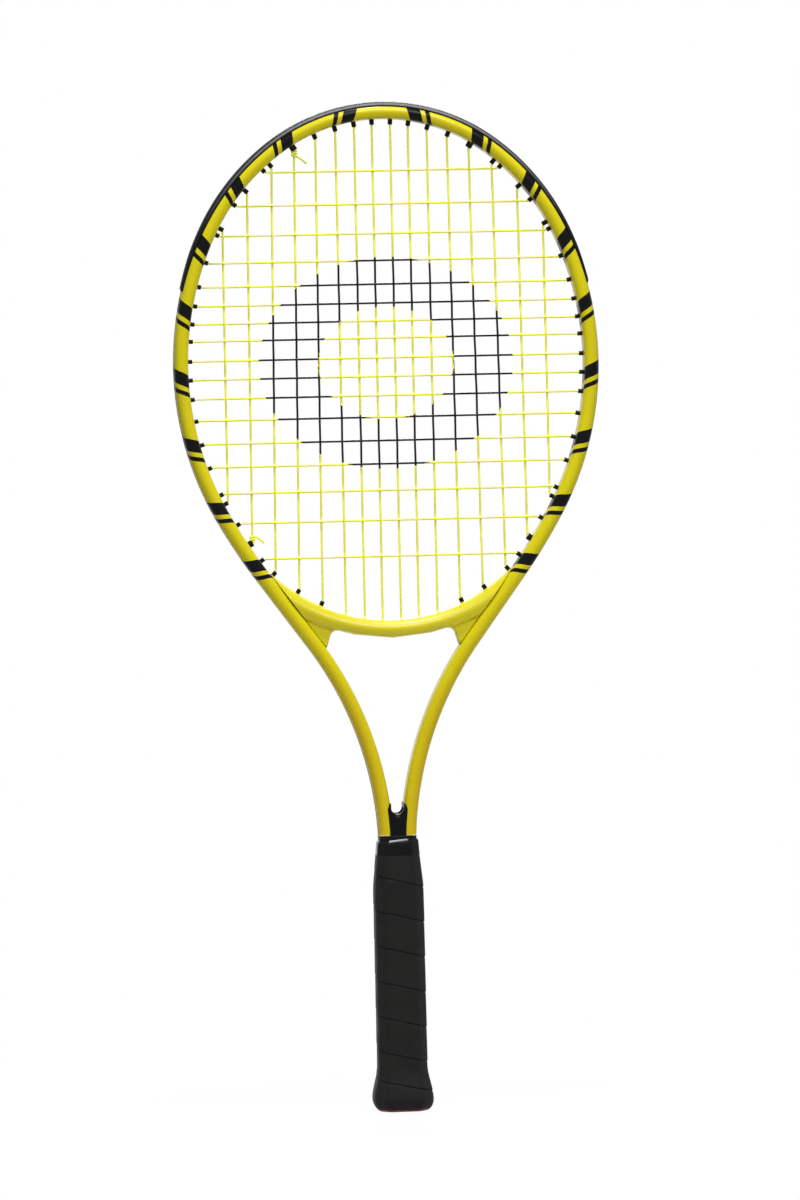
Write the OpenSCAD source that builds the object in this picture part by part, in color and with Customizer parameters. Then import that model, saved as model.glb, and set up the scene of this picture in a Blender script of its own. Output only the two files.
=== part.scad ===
// Tennis racket with an alloy tube frame, stringed, standing upright on its butt.
// The racket's axis is Z, the string plane is XZ, and the front face looks along -Y.
// Hoop positions are given by a heading: 0 degrees at the tip, growing down either side.

/* [Overall] */
// Length from the butt to the tip of the bumper guard
total_length = 686; // [676:1:696]

/* [Head hoop] */
// Centreline radius at the tip
tip_r = 122; // [116:1:128]
// Half angle of the tip arc
tip_turn = 36; // [34:1:38]
// Centreline radius at the shoulders
shoulder_r = 152; // [146:1:158]
// Angle of each shoulder arc
shoulder_turn = 29; // [27:1:31]
// Centreline radius of the sides
side_r = 210; // [204:1:216]
// Angle of each side arc
side_turn = 54; // [53:0.5:55]
// Centreline radius where the sides run into the throat
throat_r = 400; // [360:10:440]
// Angle of each throat arc
throat_turn = 7; // [6:0.5:8]

/* [Shafts] */
// Radius of the bend from the splayed throat to the handle
bend_r = 241; // [225:1:255]
// Half distance between the two shafts in the handle
shaft_x = 7.6; // [7.3:0.1:8]
// Height of the shaft ends inside the handle
shaft_end_z = 85; // [60:1:110]

/* [Tube] */
// Tube width in the string plane
tube_w = 9.8; // [9.2:0.1:10.2]
// Tube depth across the string plane
tube_d = 20; // [18.5:0.5:21]
// Tube wall
tube_wall = 0.8; // [0.6:0.1:1.1]
// Width of the string channel in the outer face
channel_w = 6.6; // [6.4:0.1:7]
// Depth of the string channel
channel_depth = 3.4; // [3.2:0.1:3.6]

/* [String bed] */
// String diameter
string_d = 1.3; // [1.1:0.05:1.4]
// Spacing of the mains at the tip, from the centre gap outwards
main_gap_tip = [12.4, 12.1, 12.8, 13.7, 14.6, 15.6, 17, 17.2]; // [11:0.1:18]
// Spacing of the mains at the throat, from the centre gap outwards
main_gap_throat = [12.4, 12.3, 12.7, 15.8, 15.6, 15.9, 15.4, 16]; // [11:0.1:18]
// Spacing of the upper crosses, from the tube's inner face at the tip downwards
upper_cross_gap = [34.8, 22.5, 20, 18.3, 16.1, 12.8, 12.1, 11.6, 13.4]; // [11:0.1:36]
// Spacing of the lower crosses, on from there
lower_cross_gap = [12.6, 13, 14.7, 15.9, 15.8, 18, 20.3, 24.5]; // [11:0.1:36]
// Clear gap between the layer of mains and the layer of crosses
layer_gap = 0.45; // [0.42:0.01:0.6]
// Sideways place of the loops in the channel
loop_y = 2.3; // [2.2:0.05:2.4]
// Length of string over which it leaves a grommet for its layer
layer_run = 5; // [4:0.5:6]
// Length of each knot's tail
knot_tail = 9; // [6:0.5:12]

/* [Throat bridge] */
// Clear length of the head, from the tip's inner face to the bridge
head_length = 339; // [334:1:342]
// Height of the bridge at its middle
bridge_h = 13.1; // [11:0.1:15]
// Depth of the bridge across the string plane
bridge_d = 18; // [16:0.5:19]
// Rounding of the bridge's upper edges
bridge_round = 5; // [3:0.5:6]
// Start of the wing, measured down the straight tube
wing_start = 2; // [1:0.5:5]
// Thickness of the wing at its tip
wing_tip = 1; // [0.8:0.1:1.5]
// Half width of the flat middle of the lower edge
lower_mid_x = 26; // [24:0.5:28]
// Rise of the lower edge over that half width
lower_mid_rise = 2.8; // [2:0.1:3.5]
// Half width of the lower edge at its upper corner
lower_end_x = 39; // [37:0.5:40]
// Rise of the lower edge at that corner
lower_end_rise = 6.9; // [6:0.1:7.5]
// Radius of the crotch fillet
crotch_r = 5; // [3:0.5:6]
// Length of the leg along the tube below the corner
leg_drop = 12; // [9:0.5:14]
// Thickness of the leg at its end
leg_tip = 2.2; // [1.5:0.1:3]
// Depth of the string slot under the bridge
slot_depth = 2.6; // [2.4:0.1:3]
// Width of the string slot under the bridge
slot_w = 3.4; // [3:0.1:4]
// Diameter of the string bores through the bridge
bridge_bore_d = 2.2; // [1.9:0.1:2.6]
// Diameter of a rivet's shank
rivet_d = 3.2; // [2.8:0.1:3.6]
// Length of a rivet's shank below the channel's floor
rivet_len = 12; // [10:0.5:13]

/* [Bumper and grommets] */
// Height of the bumper guard above the tube
bumper_t = 2; // [1.5:0.1:2.5]
// Reach of the bumper guard over the tube's rounded flanks
bumper_wrap = 1.6; // [1.2:0.1:2]
// Width of the bumper guard across the string plane
bumper_w = 19; // [18:0.2:19.6]
// Rounding of the bumper guard's edges
bumper_round = 1.5; // [1:0.1:1.9]
// Heading at which the bumper guard ends
bumper_end = 76; // [75:0.5:77]
// Thickness of the liner in the channel
liner_t = 0.8; // [0.6:0.05:1]
// Outer diameter of a grommet barrel
barrel_d = 3; // [2.7:0.1:3.3]
// Bore of a grommet barrel
barrel_bore = 1.9; // [1.7:0.05:2.1]
// Outer diameter of a barrel that also takes a tie-off
tie_barrel_d = 4.6; // [4.5:0.1:5]
// Bore of a barrel that also takes a tie-off
tie_bore = 3.5; // [3.4:0.05:3.7]
// Length of a barrel inside the hoop
barrel_out = 3; // [2:0.1:4]

/* [Throat plug] */
// Half width of the plug where it leaves the handle
plug_base_x = 5.9; // [5.5:0.1:6.3]
// Half width of the plug at its shoulders
plug_top_x = 7.2; // [6.8:0.1:7.6]
// Height of the plug above the handle
plug_h = 21; // [18:0.5:24]
// Depth of the plug across the string plane
plug_d = 19.2; // [18:0.2:19.8]
// Height of the bevel on the outside of a prong
prong_h = 4; // [2:0.5:6]
// Inset of a prong's tip
prong_inset = 2; // [1:0.1:2.5]
// Radius of the notch between the prongs
notch_r = 3.6; // [3.2:0.1:3.8]
// Height of the notch's lowest point above the handle
notch_z = 14.3; // [12:0.1:16]
// Width of the tongue inside the handle
tongue_w = 4.6; // [4:0.1:4.8]
// Depth of the tongue across the string plane
tongue_d = 15; // [12:0.5:17]
// Length of the tongue inside the handle
tongue_len = 26; // [20:1:35]

/* [Handle] */
// Height of the handle's upper end
handle_top = 187; // [183:1:190]
// Handle width in the string plane, without tape
handle_w = 30; // [29:0.2:31]
// Handle depth across the string plane, without tape
handle_d = 26.4; // [25.6:0.2:27.4]
// Leg of the handle's bevels
bevel = 5.5; // [5:0.1:6]
// Height at which the handle starts to taper
taper_z = 150; // [140:1:156]
// Width of the handle's upper end
collar_w = 26.6; // [26.4:0.1:27.2]
// Depth of the handle's upper end
collar_d = 23.4; // [22.8:0.1:24]
// Wall of the handle shells below the shafts
shell_wall = 2.4; // [2:0.1:3]

/* [Butt] */
// Width of the butt in the string plane
butt_w = 41; // [40:0.2:42]
// Height of the widest place of the butt
butt_z = 8.5; // [7:0.5:10]
// Inset of the butt's lower edge
butt_chamfer = 3.3; // [2.5:0.1:4]
// Inset of the butt halfway between its lower edge and its widest place
butt_swell = 0.9; // [0.5:0.1:1.2]
// Height of the cap's upper rim
cap_top = 30; // [26:1:34]
// Height over which the handle evens out above the cap
cap_run = 4; // [3:0.5:6]
// Wall of the cap at its upper rim
cap_wall = 0.6; // [0.5:0.05:0.8]
// Thickness of the floor of the cap
cap_floor = 4.4; // [3.5:0.1:5]
// Thickness of the end plate
plate_t = 1.6; // [1.2:0.1:2]
// Width of the flat face that the racket stands on
foot_w = 29; // [27:0.5:31]
// Diameter of the end plate's spigot
spigot_d = 15.8; // [14:0.1:17]
// Height of the staples
staple_z = 21; // [18:0.5:24]
// Width of a staple
staple_w = 10; // [8:0.5:12]
// Length of a staple's legs
staple_leg = 4.5; // [4:0.1:5]
// Wire diameter of a staple
staple_wire = 0.9; // [0.7:0.05:1]

/* [Grip] */
// Thickness of the grip tape
tape_t = 1.8; // [1.4:0.1:2.2]
// Thickness of the grip tape at its upper edge
tape_end_t = 1; // [0.9:0.1:1.3]
// Height over which the grip tape thins towards its upper edge
tape_thin = 40; // [25:1:60]
// Width of the tape's softened edges
tape_soft = 1.2; // [0.8:0.1:1.6]
// Share of the thickness that the tape keeps at its edges
tape_edge = 0.7; // [0.5:0.05:0.9]
// Height of the tape's cut ends
tape_cut_h = 3; // [2:0.5:4]
// Rise of the grip tape in one turn
tape_pitch = 23.9; // [22:0.1:26]
// Clear gap between one turn and the next
tape_gap = 0.5; // [0.45:0.01:0.7]
// Height of the grip tape's upper edge
tape_top = 175; // [170:0.5:178]
// Height of the finishing tape
finish_h = 7.4; // [6:0.1:8.5]
// Thickness of the finishing tape at its lower edge
finish_low_t = 0.9; // [0.8:0.05:1.2]
// Thickness of the finishing tape at its upper edge
finish_t = 0.6; // [0.5:0.05:0.8]

/* [Clearances] */
// Clearance of a barrel, rivet or spigot in its hole
fit_gap = 0.1; // [0.08:0.01:0.15]
// Clearance of a strip, cap or shell against what it seats on
seat_gap = 0.12; // [0.1:0.01:0.2]
// Clearance under a string that lies on a strip
rest_gap = 0.12; // [0.1:0.01:0.2]

// Step in the wall between two runs of a tube or strip
tie_step = 0.05; // [0.04:0.01:0.08]
// Length by which one run of a tube or strip reaches into the next
tie_lap = 0.5; // [0.3:0.1:0.8]
// Overlap of the two runs of a shaft's seat
seat_lap = 0.004; // [0.002:0.001:0.01]

/* [Hidden] */
$fn = 48;
sweep_fn = 200;
paint = "#d8cb1f";
black = "#1c1c1d";
lemon = "#e9ee5a";
far = 400;
eps = 0.01;

// Hoop: a chain of tangent arcs, each with its centre on the last one's end radius
tip_z = total_length - bumper_t - tube_w / 2;
arc_r = [tip_r, shoulder_r, side_r, throat_r];
arc_turn = [tip_turn, shoulder_turn, side_turn, throat_turn];
arc_h = [for (k = 0, h = 0; k <= 4; h = h + (k < 4 ? arc_turn[k] : 0), k = k + 1) h];
function arc_centre(k) =
    k == 0 ? [0, tip_z - tip_r]
    : arc_centre(k - 1) + (arc_r[k - 1] - arc_r[k]) * [sin(arc_h[k]), cos(arc_h[k])];
centres = [for (k = [0:3]) arc_centre(k)];
function arc_at(h) = h <= arc_h[1] ? 0 : h <= arc_h[2] ? 1 : h <= arc_h[3] ? 2 : 3;
function hoop(h, d = 0) = centres[arc_at(h)] + (arc_r[arc_at(h)] + d) * [sin(h), cos(h)];
function find_h(axis, value, d, lo, hi, rising, steps = 40) =
    let (mid = (lo + hi) / 2)
    steps == 0 ? mid
    : (hoop(mid, d)[axis] > value) == rising ? find_h(axis, value, d, lo, mid, rising, steps - 1)
    : find_h(axis, value, d, mid, hi, rising, steps - 1);

// Shaft: a straight run from the hoop's end, a bend the other way and a straight run down
hoop_end = arc_h[4];
splay = hoop_end - 90;
splay_top = hoop(hoop_end);
splay_dir = [-sin(splay), -cos(splay)];
splay_out = [cos(splay), -sin(splay)];
splay_len = (splay_top[0] - bend_r * (1 - cos(splay)) - shaft_x) / sin(splay);
splay_low = splay_top + splay_len * splay_dir;
bend_c = splay_low + bend_r * splay_out;
function splay_at(s, d = 0) = splay_top + s * splay_dir + d * splay_out;

// Channel: distances from the tube's centreline to the channel's floor and to a string on it
floor_d = tube_w / 2 - channel_depth;
function lane_d(level) = floor_d + liner_t + rest_gap + string_d / 2 + level * (string_d + rest_gap);
inset = tube_w / 2 + barrel_out;
function sums(v, i) = i == 0 ? v[0] : v[i] + sums(v, i - 1);
last_main = len(main_gap_tip) - 1;
main_x_tip = [for (i = [0:last_main]) sums(main_gap_tip, i) - main_gap_tip[0] / 2];
main_x_throat = [for (i = [0:last_main]) sums(main_gap_throat, i) - main_gap_throat[0] / 2];
cross_gap = concat(upper_cross_gap, lower_cross_gap);
last_cross = len(cross_gap) - 1;
cross_z = [for (j = [0:last_cross]) tip_z - tube_w / 2 - sums(cross_gap, j)];
widest_h = 90;
tip_h = [for (x = main_x_tip) find_h(0, x, -inset, 0, widest_h, true)];
cross_h = [for (z = cross_z) find_h(1, z, -inset, 0, hoop_end, false)];
side_mains = [6, 7];
side_h = [for (i = side_mains)
    find_h(0, main_x_throat[i], -inset, widest_h, hoop_end, false)];
function side_hole(i) = side_h[i - side_mains[0]];
// Mains that end in the bridge's own bores, and mains that run on through wing and tube
bore_mains = [0, 1, 2];
fan_mains = [3, 4, 5];
function is_bore(i) = i < fan_mains[0];
function is_fan(i) = !is_bore(i) && i < side_mains[0];
tie_tip_main = 4;
tie_throat_main = side_mains[0];
function hole_tie(i, tip) = i == (tip ? tie_tip_main : tie_throat_main);
// Every hole in the hoop, with its heading and whether it also takes a tie-off
hoop_holes = concat(
    [for (i = [0:last_main]) [tip_h[i], hole_tie(i, true)]],
    [for (h = cross_h) [h, false]],
    [for (i = side_mains) [side_hole(i), hole_tie(i, false)]]);
function barrel_of(hole) = hole[1] ? tie_barrel_d : barrel_d;
function bore_of(hole) = hole[1] ? tie_bore : barrel_bore;

// Bridge: its upper edge is an arc through the middle and both wing tips
bridge_z = tip_z - tube_w / 2 - head_length;
face_d = -tube_w / 2 - seat_gap;
wing_point = splay_at(wing_start, face_d - wing_tip);
bridge_r = (wing_point[0] ^ 2 + (wing_point[1] - bridge_z) ^ 2) / (2 * (wing_point[1] - bridge_z));
bridge_c = [0, bridge_z + bridge_r];
lower_z0 = bridge_z - bridge_h;
function lower_z(x) = lookup(abs(x), [
    [0, lower_z0],
    [lower_mid_x, lower_z0 + lower_mid_rise],
    [lower_end_x, lower_z0 + lower_end_rise]]);
function upper_z(x) = bridge_c[1] - sqrt(bridge_r ^ 2 - x ^ 2);
function fan_angle(i) = asin(main_x_throat[i] / (bridge_r - barrel_out));
function fan_dir(i) = [sin(fan_angle(i)), -cos(fan_angle(i))];
function fan_point(i, d) = bridge_c + (bridge_r + d) * fan_dir(i);
// Length along a fan line from the wing's face to a given distance off the tube's centreline
function fan_reach(i, d) =
    (d - splay_out * (fan_point(i, 0) - splay_top)) / (splay_out * fan_dir(i));
function splay_s(point) = splay_dir * (point - splay_top);
// The throat strip ends past its last hole, and the rivet's head sits just below that end
last_fan = fan_mains[0];
strip_end = splay_s(fan_point(last_fan, fan_reach(last_fan, floor_d))) + barrel_d;
rivet_head_d = channel_w - 4 * seat_gap;
rivet_at = strip_end + rivet_head_d / 2 + 2 * seat_gap;

// Section of the tube: a stadium with a channel, X pointing out of the hoop
module stadium(w, d) {
    square([w, d - w], center = true);
    for (y = [-1, 1]) translate([0, y * (d - w) / 2]) circle(d = w);
}
module channel_shape(wall) {
    translate([floor_d - wall, -channel_w / 2 - wall]) square([tube_w, channel_w + 2 * wall]);
}
module tube_section(step = 0) {
    bore = tube_wall - step;
    difference() {
        stadium(tube_w - 2 * step, tube_d - 2 * step);
        channel_shape(step);
        difference() {
            stadium(tube_w - 2 * bore, tube_d - 2 * bore);
            channel_shape(bore);
        }
    }
}
module liner_section(step = 0) {
    gap = seat_gap + step;
    translate([floor_d + gap, gap - channel_w / 2])
        square([liner_t - seat_gap - 2 * step, channel_w - 2 * gap]);
}
module bumper_section(step = 0) {
    gap = seat_gap + step;
    low = tube_w / 2 - bumper_wrap + step;
    top = tube_w / 2 + bumper_t - step;
    wide = bumper_w - 2 * step;
    corner = bumper_round;
    slot = 2 * (loop_y + rest_gap + step) + string_d;
    difference() {
        union() {
            difference() {
                union() {
                    translate([low, -wide / 2]) square([top - low - corner, wide]);
                    translate([low, corner - wide / 2]) square([top - low, wide - 2 * corner]);
                    for (y = [-1, 1]) translate([top - corner, y * (wide / 2 - corner)]) circle(corner);
                }
                stadium(tube_w + 2 * gap, tube_d + 2 * gap);
            }
            translate([floor_d + gap, gap - channel_w / 2])
                square([channel_depth + bumper_t / 2, channel_w - 2 * gap]);
        }
        translate([floor_d + liner_t - step, -slot / 2]) square([tube_w, slot]);
    }
}

// Sweeps of a section along the hoop and the shafts, with a lap at each end of a bent run
module place(point) {
    translate([point[0], 0, point[1]]) children();
}
module both_sides() {
    children();
    mirror([1, 0, 0]) children();
}
function lap_turn(lap, r) = lap / r * 180 / PI;
module hoop_sweep(from, to, lap = 0) {
    k = arc_at((from + to) / 2);
    more = lap_turn(lap, arc_r[k]);
    place(centres[k]) rotate([90, 0, 0])
        rotate_extrude(angle = to - from + 2 * more, start = 90 - to - more, $fn = sweep_fn)
        translate([arc_r[k], 0]) children();
}
module splay_sweep(from, to) {
    place(splay_at(to)) rotate([0, splay, 0]) linear_extrude(to - from) children();
}
module bend_sweep(lap) {
    more = lap_turn(lap, bend_r);
    place(bend_c) rotate([90, 0, 0])
        rotate_extrude(angle = splay + 2 * more, start = 180 - splay - more, $fn = sweep_fn)
        translate([bend_r, 0]) mirror([1, 0]) children();
}
module shaft_run() {
    translate([shaft_x, 0, shaft_end_z]) linear_extrude(bend_c[1] - shaft_end_z) children();
}
module shaft_seats() {
    both_sides() {
        bend_sweep(seat_lap) stadium(tube_w + 2 * seat_gap, tube_d + 2 * seat_gap);
        shaft_run() stadium(tube_w + 2 * seat_gap, tube_d + 2 * seat_gap);
    }
}
module at_hoop(h) {
    place(hoop(h)) rotate([0, h, 0]) children();
}
module at_fan(i) {
    place(fan_point(i, 0)) rotate([0, 180 - fan_angle(i), 0]) children();
}
module hoop_drill(hole, d) {
    at_hoop(hole[0]) translate([0, 0, -tube_w]) cylinder(d = d, h = 2 * tube_w);
}
module fan_drill(i, d) {
    at_fan(i) translate([0, 0, -barrel_out - eps]) cylinder(d = d, h = fan_reach(i, tube_w) + barrel_out);
}
module rivet_axis() {
    place(splay_at(rivet_at, floor_d)) rotate([0, splay - 90, 0]) children();
}

// Frame: every second run is a hair slimmer and reaches into the next, so all are one solid
module tube_runs() {
    hoop_sweep(-arc_h[1], arc_h[1]) tube_section();
    both_sides() {
        hoop_sweep(arc_h[1], arc_h[2], tie_lap) tube_section(tie_step);
        hoop_sweep(arc_h[2], arc_h[3]) tube_section();
        hoop_sweep(arc_h[3], arc_h[4], tie_lap) tube_section(tie_step);
        splay_sweep(0, splay_len) tube_section();
        bend_sweep(tie_lap) tube_section(tie_step);
        shaft_run() tube_section();
    }
}
module frame_tube() {
    color(paint) difference() {
        tube_runs();
        both_sides() {
            for (hole = hoop_holes) hoop_drill(hole, barrel_of(hole) + 2 * fit_gap);
            for (i = fan_mains) fan_drill(i, barrel_d + 2 * fit_gap);
            rivet_axis() translate([0, 0, -channel_depth])
                cylinder(d = rivet_d + 2 * fit_gap, h = channel_depth + tube_w);
        }
    }
}

// Bridge
function corner_arc(a, k, b, r, n = 6) =
    let (
        u = (a - k) / norm(a - k),
        v = (b - k) / norm(b - k),
        half = acos(u * v) / 2,
        c = k + (u + v) / norm(u + v) * r / sin(half),
        p = k + u * r / tan(half) - c,
        q = k + v * r / tan(half) - c)
    [for (i = [0:n]) let (w = p * (1 - i / n) + q * i / n) c + w / norm(w) * r];
function bridge_half() =
    let (
        mid = [lower_mid_x, lower_z(lower_mid_x)],
        corner = [lower_end_x, lower_z(lower_end_x)],
        leg_z = corner[1] - leg_drop,
        leg_s = (splay_at(0, face_d)[1] - leg_z) / cos(splay),
        leg_out = splay_at(leg_s, face_d),
        leg_in = leg_out - [leg_tip, 0])
    concat(
        [mid],
        corner_arc(mid, corner, leg_in, crotch_r),
        [leg_in, leg_out, splay_at(wing_start, face_d), wing_point]);
module upright(d) {
    rotate([90, 0, 0]) linear_extrude(d, center = true) children();
}
module bridge_plan() {
    half = bridge_half();
    n = len(half);
    polygon(concat([[0, lower_z0]], half, [for (i = [n - 1:-1:0]) [-half[i][0], half[i][1]]]));
}
module bridge_slot() {
    inner = lower_mid_x + slot_w + main_gap_throat[2] / 2;
    polygon([
        [0, lower_z0 + slot_depth],
        [lower_mid_x, lower_z(lower_mid_x) + slot_depth],
        [inner, lower_z(inner) + slot_depth],
        [inner, lower_z0 - leg_drop],
        [-inner, lower_z0 - leg_drop],
        [-inner, lower_z(inner) + slot_depth],
        [-lower_mid_x, lower_z(lower_mid_x) + slot_depth]]);
}
module throat_bridge() {
    r = bridge_round;
    color(paint) difference() {
        intersection() {
            upright(bridge_d) bridge_plan();
            translate([0, 0, bridge_c[1]]) rotate([90, 0, 0]) rotate_extrude(angle = 180, start = 180) {
                translate([bridge_r + r, -bridge_d / 2]) square([far / 4, bridge_d]);
                translate([bridge_r, r - bridge_d / 2]) square([far / 4, bridge_d - 2 * r]);
                for (y = [-1, 1]) translate([bridge_r + r, y * (bridge_d / 2 - r)]) circle(r);
            }
        }
        upright(slot_w) bridge_slot();
        both_sides() {
            for (i = bore_mains)
                translate([main_x_throat[i], 0, lower_z0]) cylinder(d = bridge_bore_d, h = far / 4);
            for (i = fan_mains) fan_drill(i, barrel_d + 2 * fit_gap);
            rivet_axis() cylinder(d = rivet_d + 2 * fit_gap, h = rivet_len + fit_gap);
        }
    }
}
module bridge_rivets() {
    head_t = rivet_d / 3;
    color("silver") both_sides() rivet_axis() {
        cylinder(d = rivet_d, h = rivet_len);
        translate([0, 0, -head_t - seat_gap]) cylinder(d = rivet_head_d, h = head_t);
        translate([0, 0, -head_t / 2 - seat_gap]) cylinder(d = rivet_d, h = head_t);
    }
}

// Bumper guard and grommet strips
module barrel(hole) {
    at_hoop(hole[0]) translate([0, 0, -inset])
        cylinder(d = barrel_of(hole), h = inset + floor_d + liner_t / 2 + seat_gap);
}
module bumper_guard() {
    under = [for (hole = hoop_holes) if (hole[0] < bumper_end) hole];
    color(black) difference() {
        union() {
            hoop_sweep(-arc_h[1], arc_h[1]) bumper_section();
            both_sides() {
                hoop_sweep(arc_h[1], arc_h[2], tie_lap) bumper_section(tie_step);
                hoop_sweep(arc_h[2], bumper_end) bumper_section();
                for (hole = under) barrel(hole);
            }
        }
        both_sides() for (hole = under) hoop_drill(hole, bore_of(hole));
    }
}
module grommet_strip() {
    under = [for (hole = hoop_holes) if (hole[0] >= bumper_end) hole];
    color(black) difference() {
        union() {
            hoop_sweep(bumper_end + seat_gap, arc_h[3]) liner_section();
            hoop_sweep(arc_h[3], hoop_end, tie_lap) liner_section(tie_step);
            for (hole = under) barrel(hole);
        }
        for (hole = under) hoop_drill(hole, bore_of(hole));
    }
}
module left_grommet_strip() { mirror([1, 0, 0]) grommet_strip(); }
module right_grommet_strip() { grommet_strip(); }
module throat_strip() {
    color(black) difference() {
        union() {
            splay_sweep(seat_gap, strip_end) liner_section();
            for (i = fan_mains) intersection() {
                at_fan(i) translate([0, 0, -barrel_out])
                    cylinder(d = barrel_d, h = fan_reach(i, tube_w) + barrel_out);
                splay_sweep(-strip_end, strip_end + tube_d)
                    translate([floor_d + liner_t / 2 + seat_gap - far, -barrel_d])
                    square([far, 2 * barrel_d]);
            }
        }
        for (i = fan_mains) fan_drill(i, barrel_bore);
    }
}
module left_throat_strip() { mirror([1, 0, 0]) throat_strip(); }
module right_throat_strip() { throat_strip(); }

// String: one piece, from the knot at the throat through mains and crosses to the knot at the tip
function at3(point, side, y) = [side * point[0], y, point[1]];
function mix(a, b, f) = a * (1 - f) + b * f;
function unit(v) = v / norm(v);
layer_y = (string_d + layer_gap) / 2;
tie_y = (string_d + rest_gap) / 2 + rest_gap;
function shared(i, side, tip) = side < 0 && hole_tie(i, tip) ? tie_y : 0;
function tip_in(i, side) = at3(hoop(tip_h[i], -inset), side, shared(i, side, true));
function tip_out(i, side) = at3(hoop(tip_h[i], lane_d(0)), side, shared(i, side, true));
function throat_in(i, side) =
    is_bore(i) ? [side * main_x_throat[i], 0, upper_z(main_x_throat[i])]
    : is_fan(i) ? at3(fan_point(i, -barrel_out), side, 0)
    : at3(hoop(side_hole(i), -inset), side, shared(i, side, false));
function slot_z(x) = lower_z(x) + slot_depth - rest_gap - string_d / 2;
function throat_out(i, side, level = 0) =
    is_bore(i) ? [side * main_x_throat[i], 0, slot_z(main_x_throat[i])]
    : is_fan(i) ? at3(fan_point(i, fan_reach(i, lane_d(level))), side, 0)
    : at3(hoop(side_hole(i), lane_d(level)), side, shared(i, side, false));
function cross_in(j, side) = at3(hoop(cross_h[j], -inset), side, 0);
function cross_out(j, side, level = 0) = at3(hoop(cross_h[j], lane_d(level)), side, 0);
// One run across the head: out of a grommet, into its layer and into the next grommet
function run(out_a, in_a, in_b, out_b, y) =
    let (step = unit(in_b - in_a) * layer_run)
    [out_a, in_a, [in_a[0] + step[0], y, in_a[2] + step[2]],
        [in_b[0] - step[0], y, in_b[2] - step[2]], in_b, out_b];
function main_up(i, side, level = 0) =
    run(throat_out(i, side, level), throat_in(i, side), tip_in(i, side), tip_out(i, side), layer_y);
function turned(list) = [for (i = [len(list) - 1:-1:0]) list[i]];
// A loop along the channel, between two headings
function loop(h_a, h_b, side, y, level = 0, n = 3) =
    [for (k = [1:n]) at3(hoop(mix(h_a, h_b, k / (n + 1)), lane_d(level)), side, y)];
function tip_loop(a, b, side) = loop(tip_h[a], tip_h[b], side, loop_y);
function throat_loop(a, b, side) =
    let (p = throat_out(a, side), q = throat_out(b, side))
    [for (k = [1:3]) let (m = mix(p, q, k / 4))
        is_bore(max(a, b)) ? [m[0], 0, slot_z(m[0])] : [m[0], loop_y, m[2]]];
function left_mains(i) = i < 0 ? []
    : i % 2 == 1 ? concat(main_up(i, -1, i == last_main ? 1 : 0), tip_loop(i, i - 1, -1), left_mains(i - 1))
    : concat(turned(main_up(i, -1)), i > 0 ? throat_loop(i, i - 1, -1) : [], left_mains(i - 1));
function right_mains(i) = i > last_main ? []
    : i % 2 == 0 ? concat(main_up(i, 1), tip_loop(i, i + 1, 1), right_mains(i + 1))
    : concat(turned(main_up(i, 1, i == last_main ? 1 : 0)),
        i < last_main ? throat_loop(i, i + 1, 1) : [],
        right_mains(i + 1));
function cross_run(j, side) =
    run(cross_out(j, side, j == last_cross ? 1 : 0), cross_in(j, side), cross_in(j, -side),
        cross_out(j, -side, j == 0 ? 1 : 0), -layer_y);
function crosses(j) = j < 0 ? []
    : let (side = j % 2 == 0 ? 1 : -1)
    concat(cross_run(j, side), j > 0 ? loop(cross_h[j], cross_h[j - 1], -side, -loop_y) : [],
        crosses(j - 1));
// A tie-off: beside the main through its grommet, a turn and a half round the main, and a tail
function knot(h, down, tail) =
    let (
        from = at3(hoop(h, -inset), -1, -tie_y),
        r = 2 * tie_y,
        drop = (string_d + layer_gap) * down)
    concat(
        [at3(hoop(h, lane_d(1)), -1, -tie_y), from],
        [for (k = [1:12]) let (a = 45 * k - 90)
            from + [r * cos(a), tie_y * 2 + r * sin(a), -drop * (k / 8 + 0.5)]],
        [from + [r, 4 * tie_y, -2.4 * drop] + unit(tail) * knot_tail]);
string_route = concat(
    turned(knot(side_h[0], -1, [2, 0, -1])),
    loop(side_h[0], side_h[1], -1, 0, 1, 5),
    left_mains(last_main),
    [for (k = [-1:1]) let (x = k * main_x_throat[0] / 2) [x, 0, slot_z(x)]],
    right_mains(0),
    loop(side_h[1], cross_h[last_cross], 1, 0, 1, 5),
    crosses(last_cross),
    loop(cross_h[0], tip_h[tie_tip_main], -1, 0, 1, 5),
    knot(tip_h[tie_tip_main], 1, [1.2, 0, -1]));

// A closed tube along a list of points, with rings carried from one to the next
function tangents(p) = [for (i = [0:len(p) - 1])
    unit((i < len(p) - 1 ? unit(p[i + 1] - p[i]) : [0, 0, 0]) + (i > 0 ? unit(p[i] - p[i - 1]) : [0, 0, 0]))];
function square_to(n, t) = unit(n - (n * t) * t);
function carried(t) =
    [for (i = 0, n = square_to([0, 1, 0], t[0]); i < len(t);
        i = i + 1, n = i < len(t) ? square_to(n, t[i]) : n) n];
function ring_faces(rings, sides) = concat(
    [for (i = [0:rings - 2], k = [0:sides - 1]) each let (
        a = i * sides + k,
        b = i * sides + (k + 1) % sides)
        [[a, b, b + sides], [a, b + sides, a + sides]]],
    [for (k = [1:sides - 2]) [0, k + 1, k]],
    [for (k = [1:sides - 2]) let (e = (rings - 1) * sides) [e, e + k, e + k + 1]]);
module round_tube(p, d, sides = 6) {
    t = tangents(p);
    n = carried(t);
    polyhedron(
        [for (i = [0:len(p) - 1], k = [0:sides - 1]) let (a = -360 * k / sides)
            p[i] + d / 2 * (cos(a) * n[i] + sin(a) * cross(t[i], n[i]))],
        ring_faces(len(p), sides));
}
module string_bed() {
    color(lemon) round_tube(string_route, string_d);
}

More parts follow.
